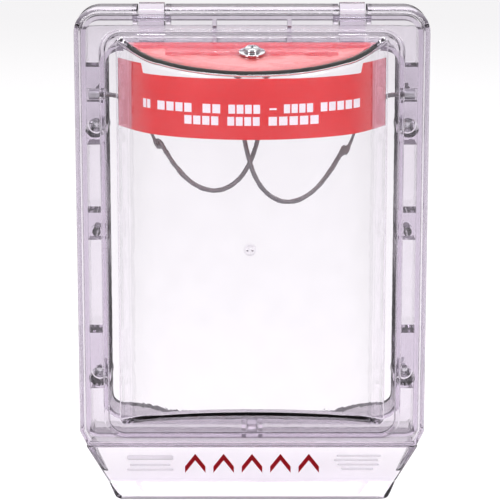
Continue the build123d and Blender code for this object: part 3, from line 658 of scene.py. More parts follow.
def catch_tongue():
    """The tongue that the wall frame's two posts take between them, its rear corners rounded."""
    outline = rounded_path(
        [(0, TONGUE_FRONT), (TONGUE_HALF, TONGUE_FRONT), (TONGUE_HALF, TONGUE_REAR),
         (-TONGUE_HALF, TONGUE_REAR), (-TONGUE_HALF, TONGUE_FRONT), (-0.1, TONGUE_FRONT)],
        (0.3, TONGUE_ROUND, TONGUE_ROUND, 0.3), steps=8)

    def place(x, y, level):
        return np.stack([x, y, level], 1)
    return prism(outline, TONGUE_FOOT, TONGUE_HEAD, 0.4, place)


def raised_mark(x_low, x_high, z, height):
    """A plain low bar on the front of the grip panel."""
    half = height / 2
    middle = (x_low + x_high) / 2
    outline = rounded_path(
        [(middle, z - half), (x_high, z - half), (x_high, z + half), (x_low, z + half), (x_low, z - half),
         (middle - 0.1, z - half)], (half * 0.8,) * 4, steps=4)

    def place(x, z_at, level):
        return np.stack([x, GRIP_FRONT - level, z_at], 1)
    return prism(outline, -0.05, 0.18, 0.08, place, steps=2)


def gate_mark(x, z, radius=3.1):
    """The round scar of the moulding gate on the window: two nibs in a low ring, from height over radius."""
    rho = np.linspace(0, 1, 15)[:, None]
    angle = np.linspace(0, 2 * pi, 49)[:-1][None]
    px, pz = x + rho * radius * np.cos(angle), z + rho * radius * np.sin(angle)
    lip = 0.16 * np.exp(-((rho - 0.78) / 0.12) ** 2) + 0 * angle
    nibs = sum(0.5 * np.exp(-((px - x - at) ** 2 + (pz - z) ** 2) / 0.35) for at in (-1.25, 1.25))
    y = window_y(px, pz, 0.0, BASE_Y)
    front = np.stack([px, y - lip - nibs - 0.02, pz], -1).reshape(-1, 3)
    back = np.stack([px, y + 0.12, pz], -1).reshape(-1, 3)
    return closed_shell(front, back, grid_faces(15, 48, wrap=True))


# ==== films and print ====
def side_x(y, inset):
    """Half width between the window's drafted sides at a depth."""
    return WINDOW_HALF - ((y - BASE_Y) * SIDE_NORMAL[1] + inset) / SIDE_NORMAL[0]


def film_columns():
    """Where the front film's columns stand, as shares of its half width, crowded on its steep sides."""
    half = np.concatenate([np.linspace(0, 0.80, 40), np.linspace(0.815, 1.0, 34)])
    return np.concatenate([-half[:0:-1], half])


def front_film():
    """The red film inside the window's front and sides, its wings standing higher than its middle."""
    share = film_columns()
    sheets = []
    for inset in (FILM_OUTER, FILM_INNER):
        x = share * side_x(FILM_REAR, inset)
        high = np.where(np.abs(share) * side_x(FILM_REAR, WINDOW_WALL) > WING_START, WING_TOP, FILM_TOP)
        z = FILM_BOTTOM + (high - FILM_BOTTOM) * np.linspace(0, 1, 13)[:, None]
        x = np.broadcast_to(x, z.shape)
        y = np.minimum(window_y(x, np.minimum(z, FILM_TOP), inset, BASE_Y + 6), FILM_REAR)
        sheets.append(np.stack([x, y, z], -1).reshape(-1, 3))
    return closed_shell(sheets[0], sheets[1], grid_faces(13, len(share)))


def top_film():
    """The red film under the window's sloping top, z following the slope, cut back from the front."""
    edge = side_x(TOP_FILM_REAR, FILM_OUTER + TOP_FILM_EDGE) - 0.3
    share = film_columns()
    sheets = []
    for inset in (FILM_OUTER, FILM_INNER):
        x = share * edge
        front = window_y(x, 0 * x, FILM_OUTER + TOP_FILM_EDGE, BASE_Y + 6)
        y = TOP_FILM_REAR + (front - TOP_FILM_REAR) * np.linspace(0, 1, 17)[:, None]
        x = np.broadcast_to(x, y.shape)
        sheets.append(np.stack([x, y, top_height(y, inset)], -1).reshape(-1, 3))
    return closed_shell(sheets[0], sheets[1], grid_faces(17, len(share))[:, ::-1])


def print_bars():
    """Short white bars in two rows on the front film, each bent to the film: y from the window's curve."""
    parts = []
    for low, high, words in BAR_ROWS:
        for left, right, count in words:
            cells = max(count, 1)
            pitch = (right - left) / cells
            tall = (high - low) * (1.0 if count else DASH_SHARE)
            middle = (high + low) / 2
            for n in range(cells):
                start = left + n * pitch
                x = np.linspace(start, start + pitch * (BAR_SHARE if count else 1.0), 5)
                x, z = np.meshgrid(x, np.linspace(middle - tall / 2, middle + tall / 2, 3))
                skins = [np.stack([x, window_y(x, z, inset, BASE_Y), z], -1).reshape(-1, 3)
                         for inset in (FILM_OUTER - PRINT_RISE, FILM_OUTER + PRINT_SINK)]
                parts.append(closed_shell(skins[0], skins[1], grid_faces(3, 5)))
    return joined(parts)


# ==== turned pieces ====
def turned(radius, level, columns=64, closed=False):
    """A surface of revolution: radius and level are (rows, columns) or (rows, 1) arrays round the axis."""
    angle = np.linspace(0, 2 * pi, columns + 1)[:-1][None]
    radius, level = np.broadcast_arrays(radius + 0 * angle, level + 0 * angle)
    points = np.stack([radius * np.cos(angle), radius * np.sin(angle), level], -1)
    faces = grid_faces(len(points) + int(closed), columns, wrap=True)
    return points.reshape(-1, 3), faces % (len(points) * columns)


def rounded_loop(corners, radius, steps=5):
    """A closed (radius, level) section with all its corners rounded."""
    start = (np.asarray(corners[0], float) + np.asarray(corners[-1], float)) / 2
    path = rounded_path([start, *corners, start], (radius,) * len(corners), steps)
    return path[:-1]


def washer(outer, inner, low, high, edge):
    """A flat ring with rounded edges, turned from its section."""
    section = rounded_loop([(inner, low), (outer, low), (outer, high), (inner, high)], edge)
    return turned(section[:, :1], section[:, 1:], 96, closed=True)


def hexagon_nut(half, bore, low, high, columns=96):
    """A chamfered nut: radius = half / cos(angle to the nearest flat), held below a cone at each end."""
    angle = np.linspace(0, 2 * pi, columns + 1)[:-1][None]
    flat = half / np.cos((angle + pi / 6) % (pi / 3) - pi / 6)
    chamfer = half / cos(pi / 6) - half
    rows = [bore, bore + 0.3, half * 0.98, half, half + chamfer * 0.5, half + chamfer]
    radius = [np.minimum(flat, r) for r in rows]
    level = [low + 0.3, low, low, low + 0.05, low + 0.35, low + 0.75]
    level += [high + low - v for v in level[::-1]]
    return turned(np.vstack(radius + radius[::-1]), np.array(level)[:, None] + 0 * flat, columns, closed=True)


def drive_recess(x, y, level):
    """Sinks a cross into a head: depth times a ramp from each arm's wall, the deeper of the two arms."""
    def arm(a, b):
        wall = np.clip((DRIVE_WIDTH / 2 - np.abs(a)) / 0.16 + 0.5, 0, 1)
        return wall * np.clip((DRIVE_LENGTH / 2 - np.abs(b)) / 0.45 + 0.5, 0, 1)
    return level - DRIVE_DEPTH * np.maximum(arm(x, y), arm(y, x))


def threaded_screw(head_radius, head_height, seat, neck_end, thread_end, tip, pitch, neck):
    """A pan-head screw along -level: domed head with a cross recess, neck, a helical thread and a tip.

    The thread's radius is its root plus a ridge that follows angle / full turn - level / pitch.
    """
    columns = 72
    angle = np.linspace(0, 2 * pi, columns + 1)[:-1][None]
    share = np.concatenate([[0.004], np.linspace(0.03, 0.72, 30), np.sin(np.linspace(0.82, pi / 2, 12))])
    share = share[:, None]
    dome = seat + head_height * (1 - 0.16 * share ** 2 - 0.50 * share ** 9)
    radius = head_radius * share + 0 * angle
    level = drive_recess(radius * np.cos(angle), radius * np.sin(angle), dome + 0 * angle)
    side = np.array([
        [head_radius, seat + 0.22], [head_radius * 0.985, seat + 0.03], [head_radius * 0.96, seat],
        [neck + 0.15, seat], [neck, seat - 0.2], [neck, neck_end + 0.1]])
    along = np.arange(neck_end, thread_end, -pitch / 9)[:, None]
    turn = (angle / (2 * pi) - along / pitch) % 1
    fade = np.clip((neck_end - along) / pitch, 0, 1)
    root = SCREW_RADIUS - THREAD_DEPTH
    ridge = np.clip(1 - np.abs(turn - 0.5) / 0.32, 0, 1)
    thread = root + (neck - root) * (1 - fade) + (SCREW_RADIUS - root) * ridge * fade
    taper = np.linspace(1, 0, 8)[1:, None]
    end = TIP_RADIUS + (root - TIP_RADIUS) * taper
    rows_r = np.vstack([radius, side[:, :1] + 0 * angle, thread, end + 0 * angle, [[0.01]] + 0 * angle])
    rows_l = np.vstack([level, side[:, 1:] + 0 * angle, along + 0 * angle,
                        thread_end - tip * (1 - taper) + 0 * angle, [[thread_end - tip - 0.02]] + 0 * angle])
    points, faces = turned(rows_r, rows_l, columns)
    last = (len(rows_r) - 1) * columns
    caps = [list(range(columns)), list(range(last, last + columns))[::-1]]
    return points, faces[:, ::-1].tolist() + caps


def on_wall(points, x, z):
    """Turned points (across, up, level) as points with the level standing out of the wall at (x, z)."""
    return np.stack([points[:, 0] + x, -points[:, 2], points[:, 1] + z], 1)


def at_bolt(points):
    """Turned points (across, up, level) as points round the bolt, the level out of the sloping top."""
    c, s = cos(TOP_SLOPE), sin(TOP_SLOPE)
    x, v, level = points[:, 0], points[:, 1], points[:, 2]
    return np.stack([x, BOLT_Y + v * c - level * s, top_height(BOLT_Y, 0) + v * s + level * c], 1)


# ==== cables ====
def terminal_mouth(side, level):
    """Where a cable enters its terminal, and a point one lead further down the terminal's axis."""
    high = -FILM_INNER - RUBBER_THICKNESS - level * TERMINAL_THICKNESS
    drops = [high - BARREL_LENGTH, high - BARREL_LENGTH - CABLE_LEAD]
    return at_bolt(np.array([(side * BARREL_X, 0, drop) for drop in drops]))


def cable_route(name):
    """One cable's control points: its ferrule, the listed middle, and straight up into its terminal."""
    side, level = (-1, 0) if name == "left" else (1, 1)
    mouth, below = terminal_mouth(-side, level)
    return np.vstack([[(side * FERRULE_X, FERRULE_Y, FERRULE_Z)], CABLE_MIDDLES[name], [below], [mouth]]) * MM


def route_line(name, route):
    """Points along the NURBS spline of a route, read from a curve with no thickness."""
    data = bpy.data.curves.new(name, "CURVE")
    data.dimensions = "3D"
    data.resolution_u = 24
    spline = data.splines.new("NURBS")
    spline.points.add(len(route) - 1)
    spline.points.foreach_set("co", np.hstack([route, np.ones((len(route), 1))]).ravel())
    spline.order_u = 3
    spline.use_endpoint_u = True
    guide = bpy.data.objects.new(name, data)
    bpy.context.scene.collection.objects.link(guide)
    line = bpy.data.meshes.new_from_object(guide)
    points = np.zeros(len(line.vertices) * 3)
    line.vertices.foreach_get("co", points)
    bpy.data.meshes.remove(line)
    bpy.data.objects.remove(guide)
    bpy.data.curves.remove(data)
    return points.reshape(-1, 3)


def even_line(points, step):
    """The same line with its points a fixed step apart."""
    along = np.concatenate([[0], np.cumsum(np.linalg.norm(np.diff(points, axis=0), axis=1))])
    at = np.linspace(0, along[-1], int(along[-1] / step) + 1)
    return np.stack([np.interp(at, along, points[:, k]) for k in range(3)], 1), at


def line_frames(points):
    """Two unit vectors across a line at each point, carried on from the last with the tangent taken out."""
    tangent = np.gradient(points, axis=0)
    tangent /= np.linalg.norm(tangent, axis=1, keepdims=True)
    first = np.cross(tangent[0], (0.0, 1.0, 0.0))
    across = [first / np.linalg.norm(first)]
    for t in tangent[1:]:
        v = across[-1] - (across[-1] @ t) * t
        across.append(v / np.linalg.norm(v))
    across = np.array(across)
    return np.stack([across, np.cross(tangent, across)], 1)


def wire_rope(line, at, diameter, strands, lay):
    """A core and outer strands wound round it.

    A strand's centre is the line plus an offset at the angle 2 pi (at / lay + n / strands).
    """
    frames = line_frames(line)
    strand = diameter / 2 / (1 + 1 / sin(pi / strands)) * 1.06
    offset = diameter / 2 - strand
    ring_angle = np.linspace(0, 2 * pi, 9)[:-1]
    circle = np.stack([np.cos(ring_angle), np.sin(ring_angle)], 1)
    parts = []
    for n in range(strands + 1):
        turn = 2 * pi * (at / lay + n / strands)
        centre, radius = line, offset
        if n < strands:
            aside = np.cos(turn)[:, None] * frames[:, 0] + np.sin(turn)[:, None] * frames[:, 1]
            centre, radius = line + offset * aside, strand
        points = swept_ring(circle * radius, centre, line_frames(centre)).reshape(-1, 3)
        faces = grid_faces(len(line), 8, wrap=True).tolist()
        last = (len(line) - 1) * 8
        parts.append((points / MM, faces + [list(range(8))[::-1], list(range(last, last + 8))]))
    return joined(parts)


# ==== materials ====
def add(tree, kind, links=(), **values):
    """A node with its fields set; links are (input name or index, source socket or value)."""
    node = tree.nodes.new(kind)
    for field, value in values.items():
        setattr(node, field, value)
    for key, source in links:
        if isinstance(source, bpy.types.NodeSocket):
            tree.links.new(source, node.inputs[key])
        else:
            node.inputs[key].default_value = source
    return node


def colour_mix(tree, factor, a, b):
    """A colour blend from a to b; a and b are sockets or colours."""
    return add(tree, "ShaderNodeMix", [(0, factor), (6, a), (7, b)], data_type="RGBA").outputs[2]


def spread(tree, source, low, high, out_low, out_high):
    """Maps a mask's range low..high onto out_low..out_high."""
    return add(tree, "ShaderNodeMapRange",
               [(0, source), (1, low), (2, high), (3, out_low), (4, out_high)]).outputs[0]


def bumped(tree, shader, height, strength, distance):
    """Feeds a height to the shader's normal."""
    bump = add(tree, "ShaderNodeBump", [("Height", height), ("Strength", strength), ("Distance", distance)])
    tree.links.new(bump.outputs[0], shader.inputs["Normal"])


def scaled(colour, share=1.0, lift=0.0):
    """A colour with its alpha: each channel times a share, plus a lift."""
    return (*(c * share + lift for c in colour), 1.0)


def rubbed_surface():
    """Group: blotches, fine grain and sparse hair scratches on Object coordinates, each as a mask."""
    group = bpy.data.node_groups.new("rubbed_surface", "ShaderNodeTree")
    for label in ("Blotch", "Grain", "Scratch"):
        size = group.interface.new_socket(name=f"{label} Size", in_out="INPUT", socket_type="NodeSocketFloat")
        size.default_value = WEAR_SIZES[label]
        group.interface.new_socket(name=label, in_out="OUTPUT", socket_type="NodeSocketFloat")
    given, result = add(group, "NodeGroupInput"), add(group, "NodeGroupOutput")
    place = add(group, "ShaderNodeTexCoord").outputs["Object"]
    stretched = add(group, "ShaderNodeMapping", [("Vector", place), ("Rotation", (0.5, 0.9, 0.35)),
                                                 ("Scale", (1.0, 1.0, 0.035))]).outputs[0]
    for label, vector, detail in (("Blotch", place, 3.0), ("Grain", place, 2.0), ("Scratch", stretched, 1.0)):
        size = given.outputs[f"{label} Size"]
        often = add(group, "ShaderNodeMath", [(0, 1.0), (1, size)], operation="DIVIDE").outputs[0]
        mask = add(group, "ShaderNodeTexNoise",
                   [("Vector", vector), ("Scale", often), ("Detail", detail)]).outputs["Fac"]
        if label == "Scratch":
            mask = add(group, "ShaderNodeMapRange", [(0, mask), (1, 0.70), (2, 0.76)]).outputs[0]
        group.links.new(mask, result.inputs[label])
    return group


def new_material(name, **sizes):
    """A material, its tree, its Principled shader, and a rubbed_surface node set to the given sizes."""
    material = bpy.data.materials.new(name)
    material.use_nodes = True
    tree = material.node_tree
    known = bpy.data.node_groups.get("rubbed_surface")
    wear = add(tree, "ShaderNodeGroup", node_tree=known or rubbed_surface())
    for label, size in sizes.items():
        wear.inputs[f"{label} Size"].default_value = size
    return material, tree, tree.nodes["Principled BSDF"], wear


def clear_plastic(name, tint, roughness, wave=0.012):
    """Polished clear polycarbonate: tinted glass with a faint moulded wave and hair scratches."""
    material, tree, shader, wear = new_material(name, Blotch=wave, Scratch=0.022)
    shader.inputs["Transmission Weight"].default_value = 1.0
    shader.inputs["IOR"].default_value = POLYCARBONATE_IOR
    dusty = scaled(tint, 0.94)
    tree.links.new(colour_mix(tree, wear.outputs["Blotch"], scaled(tint), dusty), shader.inputs["Base Color"])
    rough = spread(tree, wear.outputs["Scratch"], 0.0, 1.0, roughness, roughness + SCRATCH_ROUGHNESS)
    tree.links.new(rough, shader.inputs["Roughness"])
    bumped(tree, shader, wear.outputs["Blotch"], 0.22, 0.0004)
    passing = add(tree, "ShaderNodeBsdfTransparent", [("Color", scaled(tint, 0.5, 0.5))])
    ray = add(tree, "ShaderNodeLightPath")
    mixed = add(tree, "ShaderNodeMixShader", [(0, ray.outputs["Is Shadow Ray"]), (1, shader.outputs[0]),
                                              (2, passing.outputs[0])])
    body = add(tree, "ShaderNodeVolumeAbsorption", [("Color", BODY_COLOUR), ("Density", BODY_DENSITY)])
    out = tree.nodes["Material Output"]
    tree.links.new(mixed.outputs[0], out.inputs["Surface"])
    tree.links.new(body.outputs[0], out.inputs["Volume"])
    return material


def gloss_film(name, colour, edge_share, wing_sheen_colour=None):
    """Film behind clear plastic: even colour, a faint orange peel, and, past the bowed front, a pale pink
    painted sheen.
    """
    material, tree, shader, wear = new_material(name, Blotch=0.05, Grain=0.0016)
    hue = colour_mix(tree, wear.outputs["Blotch"], scaled(colour), scaled(colour, edge_share))
    if wing_sheen_colour:
        place = add(tree, "ShaderNodeTexCoord").outputs["Object"]
        across = add(tree, "ShaderNodeSeparateXYZ", [(0, place)]).outputs["X"]
        reach = add(tree, "ShaderNodeMath", [(0, across)], operation="ABSOLUTE").outputs[0]
        # painted reflection: past the bowed front the film's sides are painted pale pink, standing in for the
        # sheen seen through the clear side walls
        wing_sheen_mask = spread(tree, reach, (FRONT_HALF - 0.6) * MM, (FRONT_HALF + 0.4) * MM, 0.0, 1.0)
        hue = colour_mix(tree, wing_sheen_mask, hue, scaled(wing_sheen_colour))
    tree.links.new(hue, shader.inputs["Base Color"])
    tree.links.new(spread(tree, wear.outputs["Grain"], 0.3, 0.7, 0.30, 0.42), shader.inputs["Roughness"])
    bumped(tree, shader, wear.outputs["Grain"], 0.08, 0.0001)
    shader.inputs["Coat Weight"].default_value = 0.3
    return material


def bright_metal(name, colour, roughness, grain=0.0006, darker=0.75):
    """Metal with blotched tarnish and a fine grain that feeds roughness and bump."""
    material, tree, shader, wear = new_material(name, Blotch=0.004, Grain=grain)
    shader.inputs["Metallic"].default_value = 1.0
    tarnished = colour_mix(tree, wear.outputs["Blotch"], scaled(colour), scaled(colour, darker))
    tree.links.new(tarnished, shader.inputs["Base Color"])
    tree.links.new(spread(tree, wear.outputs["Grain"], 0.3, 0.7, roughness * 0.7, roughness * 1.4),
                   shader.inputs["Roughness"])
    bumped(tree, shader, wear.outputs["Grain"], 0.3, 0.00002)
    return material


def wound_steel(name, colour, wire):
    """Strand surface of a wire rope: fine wires as a wave on Object coordinates, with painted shade between
    them.
    """
    material = bright_metal(name, colour, 0.42, grain=0.0004)
    tree = material.node_tree
    shader = tree.nodes["Principled BSDF"]
    place = add(tree, "ShaderNodeTexCoord").outputs["Object"]
    wires = add(tree, "ShaderNodeTexWave", [("Vector", place), ("Scale", 0.314 / wire), ("Distortion", 2.0),
                                            ("Detail", 1.0)], bands_direction="DIAGONAL").outputs["Fac"]
    # painted shade: the grooves between the wires are painted darker, down to 0.35 of the steel colour
    wound = colour_mix(tree, wires, scaled(colour, 0.35), scaled(colour))
    tree.links.new(wound, shader.inputs["Base Color"])
    bumped(tree, shader, wires, 0.5, 0.00008)
    return material


def matt_rubber(name, colour):
    """Black rubber: matt, with a dusty bloom in blotches."""
    material, tree, shader, wear = new_material(name, Blotch=0.003)
    bloom = colour_mix(tree, wear.outputs["Blotch"], scaled(colour), scaled(colour, 2.2, 0.01))
    tree.links.new(bloom, shader.inputs["Base Color"])
    tree.links.new(spread(tree, wear.outputs["Grain"], 0.3, 0.7, 0.6, 0.8), shader.inputs["Roughness"])
    return material


def finish_of(name):
    """A finish by name, made once from the scene's colours."""
    look = bpy.context.scene.cover_finish
    kind, name = name, f"{name}_finish"
    known = bpy.data.materials.get(name)
    if known:
        return known
    makers = {
        "clear_cover": lambda: clear_plastic(name, look.cover_tint, look.polish),
        "clear_frame": lambda: clear_plastic(name, look.frame_tint, look.polish * 1.5, wave=0.008),
        "clear_raised": lambda: clear_plastic(name, look.cover_tint, look.polish + RAISED_FROST),
        # the red film's sides carry a painted reflection in pale pink
        "red_film": lambda: gloss_film(name, look.film_red, 0.86, look.wing_sheen_pink),
        "white_print": lambda: gloss_film(name, look.print_white, 0.95),
        "red_ink": lambda: gloss_film(name, look.ink_red, 0.9),
        "screw_steel": lambda: bright_metal(name, look.plated_steel, 0.09),
        "pin_steel": lambda: bright_metal(name, look.drawn_steel, 0.28),
        "terminal_steel": lambda: bright_metal(name, look.drawn_steel, 0.35),
        "ferrule_aluminium": lambda: bright_metal(name, look.ferrule_metal, 0.38, darker=0.6),
        "cable_steel": lambda: wound_steel(name, look.cable_steel, 0.00022),
        "black_rubber": lambda: matt_rubber(name, look.rubber_black),
    }
    return makers[kind]()


# ==== what a user would change ====
def colour_property(name, description, default):
    """A linear colour with no alpha."""
    return FloatVectorProperty(name=name, description=description, default=default, subtype="COLOR",
                               size=3, min=0.0, max=1.0)


def length_property(name, description, millimetres):
    """A length in metres from its default in millimetres."""
    return FloatProperty(name=name, description=description, default=millimetres * MM, min=0.0,
                         subtype="DISTANCE", unit="LENGTH", precision=5)


class CoverSizes(bpy.types.PropertyGroup):
    """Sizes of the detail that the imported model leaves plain."""
    cable_diameter: length_property("Cable diameter", "Across the wire rope", 2.4)
    cable_lay: length_property("Cable lay", "Length of one turn of a strand", 13.0)
    cable_strands: IntProperty(name="Strands", description="Outer strands of the wire rope", default=6,
                               min=3, max=12)
    thread_pitch: length_property("Thread pitch", "Between turns of the wall screws' thread", 1.5)
    bolt_pitch: length_property("Bolt pitch", "Between turns of the tether bolt's thread", 0.7)
    washer_edge: length_property("Washer edge", "Rounding of the washers' edges", 0.25)
    frame_edge: length_property("Frame edge", "Rounding of the wall frame's edges", 0.35)


class CoverFinish(bpy.types.PropertyGroup):
    """Colours and polish."""
    cover_tint: colour_property("Cover tint", "Clear plastic of the cover", (0.955, 0.935, 0.962))
    frame_tint: colour_property("Frame tint", "Clear plastic of the wall frame", (0.93, 0.905, 0.94))
    polish: FloatProperty(name="Polish", description="Roughness of the clear plastic", default=0.02,
                          min=0.0, max=1.0, subtype="FACTOR")
    film_red: colour_property("Film red", "Red film inside the window", (0.84, 0.003, 0.006))
    # painted reflection: pale pink painted on the film's sides, standing in for the sheen seen through the
    # side walls
    wing_sheen_pink: colour_property("Wing pink", "Paler sides of the red film", (0.80, 0.30, 0.33))
    ink_red: colour_property("Ink red", "Printed marks on the grip strip", (0.85, 0.015, 0.03))
    print_white: colour_property("Print white", "Bars on the red film", (1.0, 0.97, 0.98))
    plated_steel: colour_property("Plated steel", "Screws, bolt, nut and washer", (0.80, 0.80, 0.82))
    drawn_steel: colour_property("Drawn steel", "Hinge pins and ring terminals", (0.60, 0.60, 0.62))
    ferrule_metal: colour_property("Ferrule metal", "Crimped stops on the cables", (0.66, 0.66, 0.68))
    cable_steel: colour_property("Cable steel", "Wire rope", (0.46, 0.44, 0.45))
    rubber_black: colour_property("Rubber black", "Rubber washer", (0.015, 0.015, 0.018))


# ==== stage ====
def place_camera(scene):
    """The camera, looking down at the cover's front from a fixed reach."""
    data = bpy.data.cameras.new("camera")
    data.lens = CAMERA_LENS
    data.shift_x, data.shift_y = CAMERA_SHIFT
    camera = bpy.data.objects.new("camera", data)
    scene.collection.objects.link(camera)
    camera.location = (0, CAMERA_AIM_Y - CAMERA_REACH * cos(CAMERA_DOWN), CAMERA_REACH * sin(CAMERA_DOWN))
    camera.rotation_euler = (pi / 2 - CAMERA_DOWN, 0, 0)
    scene.camera = camera


def lay_floor():
    """A pale floor under the object, dark to the rays that mirrors and glossy surfaces send."""
    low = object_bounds()[0][2] - FLOOR_GAP
    corners = [(-1, -1), (1, -1), (1, 1), (-1, 1)]
    points = np.array([(x * FLOOR_EDGE, y * FLOOR_EDGE, low) for x, y in corners]) / MM
    floor = put_mesh("floor", points, [[0, 1, 2, 3]])
    material = bpy.data.materials.new("pale_floor")
    material.use_nodes = True
    tree = material.node_tree
    shader = tree.nodes["Principled BSDF"]
    for socket, value in FLOOR_LOOK.items():
        shader.inputs[socket].default_value = value
    away = add(tree, "ShaderNodeBsdfDiffuse", [("Color", FLOOR_MIRRORED)])
    ray = add(tree, "ShaderNodeLightPath")
    mirrored = add(tree, "ShaderNodeMath", [(0, ray.outputs["Is Glossy Ray"]),
                                            (1, ray.outputs["Is Transmission Ray"])], operation="SUBTRACT")
    seen = add(tree, "ShaderNodeMixShader", [(0, mirrored.outputs[0]), (1, shader.outputs[0]),
                                             (2, away.outputs[0])])
    tree.links.new(seen.outputs[0], tree.nodes["Material Output"].inputs["Surface"])
    floor.data.materials.append(material)
    floor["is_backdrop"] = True


def hang_sky(scene):
    """A sky that is grey below and white above."""
    world = bpy.data.worlds.new("studio")
    scene.world = world
    world.use_nodes = True
    tree = world.node_tree
    sky = tree.nodes["Background"]
    place = add(tree, "ShaderNodeTexCoord").outputs["Generated"]
    height = add(tree, "ShaderNodeSeparateXYZ", [(0, place)]).outputs["Z"]
    ramp = add(tree, "ShaderNodeValToRGB", [(0, height)])
    stops = ramp.color_ramp.elements
    stops[1].position = SKY_STOPS[-1][0]
    stops.new(SKY_STOPS[1][0])
    for stop, (position, colour) in zip(stops, SKY_STOPS):
        stop.position, stop.color = position, colour
    tree.links.new(ramp.outputs[0], sky.inputs["Color"])
    sky.inputs["Strength"].default_value = SKY_STRENGTH


def hang_lamp(scene, name, place, size, power):
    """A rectangular area light that faces the cover."""
    lamp = bpy.data.lights.new(name, "AREA")
    lamp.shape = "RECTANGLE"
    lamp.size, lamp.size_y = size
    lamp.energy = power
    light = bpy.data.objects.new(name, lamp)
    scene.collection.objects.link(light)
    light.location = place
    light.rotation_euler = (Vector(LAMP_AIM) - Vector(place)).to_track_quat("-Z", "Y").to_euler()


# ==== operators ====
class COVER_OT_stage(bpy.types.Operator):
    """The camera, the pale floor, the sky and the soft lights"""
    bl_idname = "cover.stage"
    bl_label = "Stage"

    def execute(self, context):
        context.scene.view_settings.view_transform = "Standard"
        place_camera(context.scene)
        lay_floor()
        hang_sky(context.scene)
        for row in LAMPS:
            hang_lamp(context.scene, *row)
        return {"FINISHED"}


class COVER_OT_cables(bpy.types.Operator):
    """The two wire-rope tethers with their ferrules and ring terminals"""
    bl_idname = "cover.cables"
    bl_label = "Tether cables"

    def execute(self, context):
        sizes = context.scene.cover_sizes
        for name in CABLE_MIDDLES:
            dress(f"cable_ferrule_{name}", finish_of("ferrule_aluminium"))
            dress(f"ring_terminal_{name}", finish_of("terminal_steel"))
            line, at = even_line(route_line(f"cable_line_{name}", cable_route(name)), CABLE_STEP * MM)
            points, faces = wire_rope(line, at, sizes.cable_diameter, sizes.cable_strands, sizes.cable_lay)
            rope = put_mesh(f"wire_rope_{name}", points, faces, 60)
            fit_out(rope, None, "cable_steel", finish_of("cable_steel"), f"tether_cable_{name}")
            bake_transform(rope)
        return {"FINISHED"}


class COVER_OT_window(bpy.types.Operator):
    """The clear cover: box, raised step and bowed window as one wall"""
    bl_idname = "cover.window"
    bl_label = "Cover and window"

    def execute(self, context):
        cover = put_mesh("cover_shell", *cover_shell(WINDOW_WALL))
        fit_out(cover, "cover", "clear_cover", finish_of("clear_cover"), "lift_cover")
        return {"FINISHED"}


class COVER_OT_grip(bpy.types.Operator):
    """The grip strip with its lip, cheeks, raised bars and printed chevrons"""
    bl_idname = "cover.grip"
    bl_label = "Grip strip"

    def execute(self, context):
        clear_piece("grip_panel", grip_panel())
        for side, name in SIDES:
            clear_piece(f"grip_cheek_{name}", grip_cheek(side))
        marks = joined([raised_mark(*row) for row in MARK_ROWS])
        built("grip_raised_bars", marks, "cover", "clear_cover", "clear_raised")
        dress("grip_legend", finish_of("red_ink"))
        return {"FINISHED"}


class COVER_OT_hinge(bpy.types.Operator):
    """The cover's hinge lugs, catch tongue and moulding scar, and the two pins"""
    bl_idname = "cover.hinge"
    bl_label = "Hinge and catch"

    def execute(self, context):
        for side, name in SIDES:
            for end, place in ((SLOT_INNER, "inner"), (SLOT_OUTER + LUG_WIDTH, "outer")):
                low = end - LUG_WIDTH if side > 0 else -end
                clear_piece(f"hinge_lug_{name}_{place}", hinge_lug(low))
            dress(f"hinge_pin_{name}", finish_of("pin_steel"))
        clear_piece("catch_tongue", catch_tongue())
        clear_piece("gate_mark", gate_mark(*GATE_AT))
        return {"FINISHED"}


class COVER_OT_wall_frame(bpy.types.Operator):
    """The clear wall frame with its pads, knuckles and catch posts, its edges rounded"""
    bl_idname = "cover.wall_frame"
    bl_label = "Wall frame"

    def execute(self, context):
        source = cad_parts["mounting_frame"]
        piece = bpy.data.objects.new("wall_frame", source.data.copy())
        context.scene.collection.objects.link(piece)
        net = bmesh.new()
        net.from_mesh(piece.data)
        bmesh.ops.remove_doubles(net, verts=net.verts, dist=2e-6)
        bmesh.ops.dissolve_limit(net, angle_limit=radians(0.6), verts=net.verts, edges=net.edges)
        net.to_mesh(piece.data)
        net.free()
        bevel = piece.modifiers.new("edges", "BEVEL")
        bevel.width = context.scene.cover_sizes.frame_edge
        bevel.segments = 2
        bevel.limit_method = "ANGLE"
        bevel.angle_limit = radians(40)
        bevel.harden_normals = False
        piece.data.shade_smooth()
        piece.data.set_sharp_from_angle(angle=radians(30))
        fit_out(piece, "frame", "clear_frame", finish_of("clear_frame"), "mounting_frame")
        return {"FINISHED"}


class COVER_OT_films(bpy.types.Operator):
    """The red films inside the window and their plain white bars"""
    bl_idname = "cover.films"
    bl_label = "Red films"

    def execute(self, context):
        front = put_mesh("front_film", *front_film())
        fit_out(front, "cover", "red_film", finish_of("red_film"), "instruction_label")
        built("top_film", top_film(), "cover", "red_film", "red_film", "top_label")
        built("film_bars", print_bars(), "cover", "red_film", "white_print")
        return {"FINISHED"}


class COVER_OT_screws(bpy.types.Operator):
    """The four wall screws with cross recesses and real threads"""
    bl_idname = "cover.screws"
    bl_label = "Wall screws"

    def execute(self, context):
        pitch = context.scene.cover_sizes.thread_pitch / MM
        points, faces = threaded_screw(HEAD_RADIUS, HEAD_HEIGHT, -SCREW_SEAT, 0.0, TIP_LENGTH - SCREW_END,
                                       TIP_LENGTH, pitch, NECK_RADIUS)
        for side, name in SIDES:
            for up, level in ((1, "upper"), (-1, "lower")):
                net = (on_wall(points, side * SCREW_X, up * SCREW_Z), faces)
                built(f"wall_screw_{level}_{name}", net, "frame", "screw_steel", "screw_steel",
                      f"mounting_screw_{level}_{name}", smooth_angle=40)
        return {"FINISHED"}


